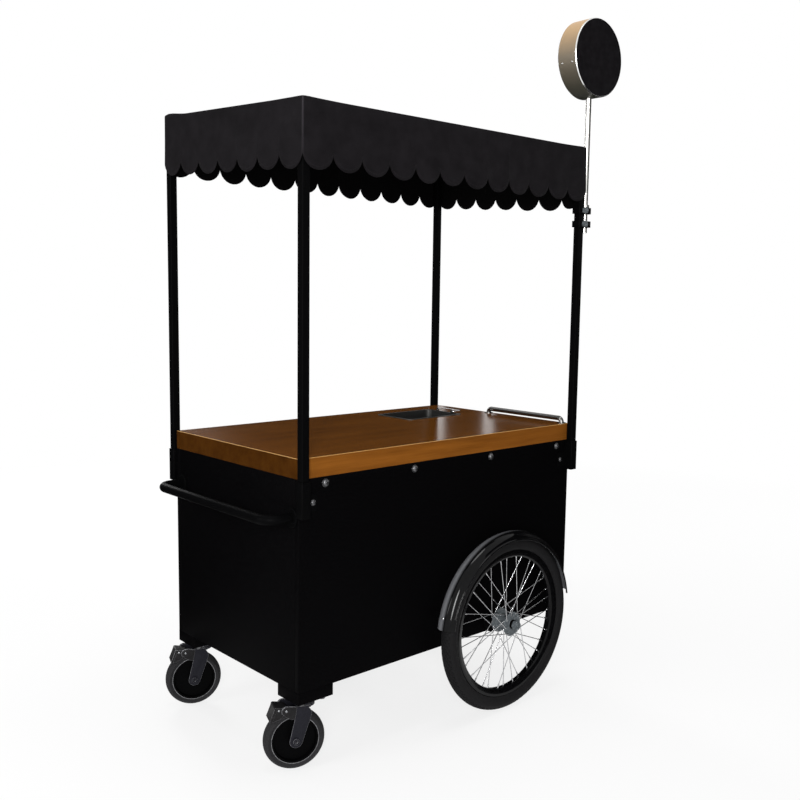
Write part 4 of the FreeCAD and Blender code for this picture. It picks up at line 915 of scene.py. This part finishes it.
def addPlate(bm, outline, place, near, far):
    # a flat plate: an outline in the wheel's plane, drawn out along the axle, with rounded corners
    spec = casterSettings
    own = bmesh.new()
    face = own.faces.new([own.verts.new(place(x, near, z)) for x, z in outline])
    made = bmesh.ops.extrude_face_region(own, geom=[face])["geom"]
    across = place(0, far, 0) - place(0, near, 0)
    bmesh.ops.translate(own, verts=vertsOf(made), vec=across)
    bmesh.ops.recalc_face_normals(own, faces=own.faces)
    heading = across.normalized()
    easeEdges(own, spec["plateCorner"], spec["cornerLeast"], spec["cornerSteps"],
              lambda e: abs((e.verts[1].co - e.verts[0].co).normalized().dot(heading)) > spec["alongAxle"])
    easeEdges(own, spec["plateEase"], worn=True)
    addMesh(bm, own)


def makeCaster(name):
    spec = casterSettings
    for part, finish, ease in (("plate", "forkPaint", "ease"), ("fork", "forkPaint", "ease"),
                               ("axle", "forkPaint", "axleEase"), ("pedal", "pedalSteel", "ease")):
        node = "caster_%s_%s" % (part, name)
        # the worn edges are painted pale: wear and a painted highlight
        easeNode(node, node + "_worked", (finish, "edgeWear"), spec[ease], worn=True)
    dressNode("casterPlastic", "caster_core_" + name)
    dressNode("casterRubber", "caster_tyre_" + name)
    joints = {joint["name"]: joint for joint in frame["joints"]}
    roll, swivel = joints["caster_%s_roll" % name], joints["caster_%s_swivel" % name]
    axis, axle = Vector(roll["axis"]).normalized(), Vector(roll["pos_m"])
    pivot = Vector(joints["pedal_%s_press" % name]["pos_m"])

    def offAxle(v):
        return ((v.co - axle) - axis * (v.co - axle).dot(axis)).length

    seat = min(offAxle(v) for v in cadNodes["caster_tyre_" + name].data.vertices)
    reach = max((v.co - axle).dot(axis) for v in cadNodes["caster_core_" + name].data.vertices
                if abs(offAxle(v) - seat) < spec["seatSlack"])
    inner, outer = seat - spec["lip"], seat + spec["lip"]
    back, proud = reach - spec["lipDepth"], reach + spec["lipProud"]
    lip = bmesh.new()
    for side in (-1, 1):
        # bright lip where the tread is moulded on to the core; its pale finish is a painted highlight along
        # that seam
        addSpin(lip, [(inner, back), (inner, proud), (outer, proud), (outer, back)], axle, axis * side,
                spec["lipSteps"], closed=True)
    linkPiece("caster_lip_" + name, lip, "edgeWear", "caster_core_" + name, covers=())
    trail = axle - Vector(swivel["pos_m"])
    trail = Vector((trail.x, trail.y, 0)).normalized()
    middle = pivot - axis * (pivot - axle).dot(axis)

    def place(x, y, z):
        return middle + trail * x + axis * y + zAxis * z

    cheeks, flanges, rivets = bmesh.new(), bmesh.new(), bmesh.new()
    for side in (-1, 1):
        addPlate(cheeks, spec["cheek"], place, *(side * y for y in spec["cheekSpan"]))
        addPlate(flanges, spec["flange"], place, *(side * y for y in spec["flangeSpan"]))
        for (x, z), span in (((0, 0), "cheekSpan"), (spec["flangeRivet"], "flangeSpan")):
            face = spec[span][1] + spec["rivetGap"]
            addDome(rivets, place(x, side * face, z), axis * side, *spec["rivet"])
    linkPiece("brake_cheeks_" + name, cheeks, ("pedalSteel", "edgeWear"), "caster_fork_" + name, covers=())
    linkPiece("pedal_flanges_" + name, flanges, ("pedalSteel", "edgeWear"), "caster_pedal_" + name, covers=())
    linkPiece("pedal_rivets_" + name, rivets, "zincPlate", "caster_pedal_" + name, covers=())


for name in pairNames:
    makeCaster(name)
print("casters made")


# Sign

signSettings = {
    "wall": 0.003, "ring": 0.004, "steps": 128,
    # the bright ring and the dark gasket inside it: in from the drum's outside and back from its face
    "trim": [(0.0052, 0.0014), (0.0048, 0.0003), (0.0030, 0.0002), (0.0026, 0), (0.0001, 0.0029),
             (0.0001, 0.0040), (0.0030, 0.0040), (0.0030, 0.0014)],
    "gasketEdge": 0.0029,
    # each rivet: radius, height, rim and steps
    "rivet": (0.0032, 0.0016, 0.0003, 16), "rivetAngles": (194, 14), "rivetInset": 0.018, "rivetSink": 0.0002,
}


def makeSign():
    spec = signSettings
    low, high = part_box("sign_drum")
    centre = (low + high) / 2
    radius, half = (high.z - low.z) / 2, (high.y - low.y) / 2
    edge = half - spec["ring"]
    bm = bmesh.new()
    addSpin(bm, mirrored([(radius - spec["wall"], edge), (radius, edge)]), centre, yAxis, spec["steps"],
            closed=True)
    linkPiece("sign_drum_shell", bm, "signSatin", "sign_drum", sharp=50)
    trim = bmesh.new()
    for side in (-1, 1):
        addSpin(trim, [(radius - inset, half - back) for inset, back in spec["trim"]], centre, yAxis * side,
                spec["steps"], closed=True)
        for angle in spec["rivetAngles"]:
            out = radial(angle)
            seat = centre + out * (radius - spec["rivetSink"]) + yAxis * side * (half - spec["rivetInset"])
            addDome(trim, seat, out, *spec["rivet"])
    for face in trim.faces:
        at = face.calc_center_median() - centre
        face.material_index = int(math.hypot(at.x, at.z) < radius - spec["gasketEdge"])    # dark gasket
    linkPiece("sign_trim", trim, ("bezelPolish", "signGloss"), "sign_drum", covers=())
    dressNode("mastSatin", "sign_mast")
    dressNode("signGloss", "sign_faces")
    dressNode("powderCoat", "mast_clamps")
    dressNode("hubSteel", "clamp_screws")


makeSign()
print("sign dressed")


# Studio: floor, lights, background and camera

studio = {
    "floorRadius": 9.0, "floorSides": 96, "floorColour": (0.86, 0.86, 0.86, 1), "floorRough": 0.9,
    "floorGloss": 0.1, "floorGlow": 0.78, "fadeFrom": 1.5, "fadeTo": 5.0, "skyLight": 0.34,
    "aim": (0, 0, 1.1),
    "lamps": {
        "keyLamp": {"at": (-3.4, -3.6, 2.0), "size": (0.8, 2.8), "power": 185},
        "fillLamp": {"at": (-4.8, 0.6, 2.3), "size": (2.0, 2.0), "power": 58},
        "sideLamp": {"at": (4.8, -0.6, 2.4), "size": (1.8, 1.8), "power": 60},
        "backLamp": {"at": (1.0, 5.0, 2.6), "size": (2.2, 2.2), "power": 130},
        "topLamp": {"at": (-0.4, -0.3, 5.4), "aim": (0, 0, 2), "size": (2.2, 2.2), "power": 82},
    },
    # dark cards behind the cart, seen only in reflections: compass spans in degrees, with slits between them,
    # and their section as (radius, height), from the strip on the floor up
    "cardSpans": [(-60, -12), (5, 47.0), (48.2, 52.8), (54.0, 165)], "cardStep": 4,
    "cardSection": [(1.05, 0.004), (3.6, 0.004), (3.6, 3.6)], "cardColour": (0.012, 0.011, 0.010, 1),
}


def seenDirectly(tree):
    # 1 for rays from the camera, mirrors and glass
    path = addNode(tree, "LightPath")
    either = reckon(tree, "MAXIMUM", path["Is Camera Ray"], path["Is Glossy Ray"])
    return reckon(tree, "MAXIMUM", either, path["Is Transmission Ray"])


def makeFloor():
    bm = bmesh.new()
    bmesh.ops.create_circle(bm, cap_ends=True, segments=studio["floorSides"], radius=studio["floorRadius"])
    floor = newObject("floor", meshOf("floor", bm))
    tree, shader = newFinish("floorPaper", {"gloss": studio["floorGloss"]})
    setInputs(shader, {"Base Color": studio["floorColour"], "Roughness": studio["floorRough"]})
    white = addNode(tree, "Emission", {"Color": (1, 1, 1, 1), "Strength": 1.0})["Emission"]
    far = addNode(tree, "VectorMath", {0: coordsOf(tree, "Object")}, operation="LENGTH")["Value"]
    fade = addSpread(tree, far, studio["floorGlow"], 1, studio["fadeFrom"], studio["fadeTo"])
    amount = reckon(tree, "MULTIPLY", fade, seenDirectly(tree))
    blend = addNode(tree, "MixShader", {"Fac": amount, 1: shader.outputs["BSDF"], 2: white})["Shader"]
    setInputs(tree.nodes["Material Output"], {"Surface": blend})
    floor.data.materials.append(finishes["floorPaper"])


def makeCards():
    bm = bmesh.new()
    for start, end in studio["cardSpans"]:
        steps = max(2, int(end - start) // studio["cardStep"])
        addSpin(bm, studio["cardSection"], (0, 0, 0), zAxis, steps, start - end, 90 - start)
    cards = newObject("darkCards", meshOf("darkCards", bm))
    for kind in ("camera", "diffuse", "transmission", "shadow", "volume_scatter"):
        setattr(cards, "visible_" + kind, False)
    shader = newFinish("cardBlack", {"gloss": 0.0})[1]
    setInputs(shader, {"Base Color": studio["cardColour"], "Roughness": 1.0})
    cards.data.materials.append(finishes["cardBlack"])


def makeWorld():
    world = bpy.data.worlds.new("studioSky")
    bpy.context.scene.world = world
    world.use_nodes = True
    tree = world.node_tree
    strength = addSpread(tree, seenDirectly(tree), studio["skyLight"], 1)
    setInputs(tree.nodes["Background"], {"Color": (1, 1, 1, 1), "Strength": strength})


def makeLamps():
    for name, lamp in studio["lamps"].items():
        light = bpy.data.lights.new(name, "AREA")
        light.shape, light.energy = "ELLIPSE", lamp["power"]
        light.size, light.size_y = lamp["size"]
        holder = newObject(name, light)
        holder.location = lamp["at"]
        aim = Vector(lamp.get("aim", studio["aim"])) - Vector(lamp["at"])
        holder.rotation_euler = aim.to_track_quat("-Z", "Y").to_euler()


# place from the middle of the worktop, at floor level
cameraSettings = {"at": (-2.18753, -2.49551, 1.43897), "yaw": 42.325, "pitch": -6.581, "roll": 0.768,
                  "lens": 42.347, "sensor": 36, "clipEnd": 100}


def makeCamera():
    spec = cameraSettings
    data = bpy.data.cameras.new("photoCamera")
    data.lens, data.sensor_width, data.clip_end = spec["lens"], spec["sensor"], spec["clipEnd"]
    holder = newObject("photoCamera", data)
    low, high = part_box("worktop")
    middle = Vector(((low.x + high.x) / 2, (low.y + high.y) / 2, 0))
    place = Matrix.Translation(middle + Vector(spec["at"]))
    # with no yaw, pitch or roll it looks along +Y
    for angle, axis in ((-spec["yaw"], "Z"), (90 + spec["pitch"], "X"), (spec["roll"], "Z")):
        place = place @ Matrix.Rotation(math.radians(angle), 4, axis)
    holder.matrix_world = place
    bpy.context.scene.camera = holder


makeFloor()
makeCards()
makeWorld()
makeLamps()
makeCamera()
bpy.context.scene.view_settings.view_transform = "Standard"
print("studio set")

bpy.context.view_layer.update()
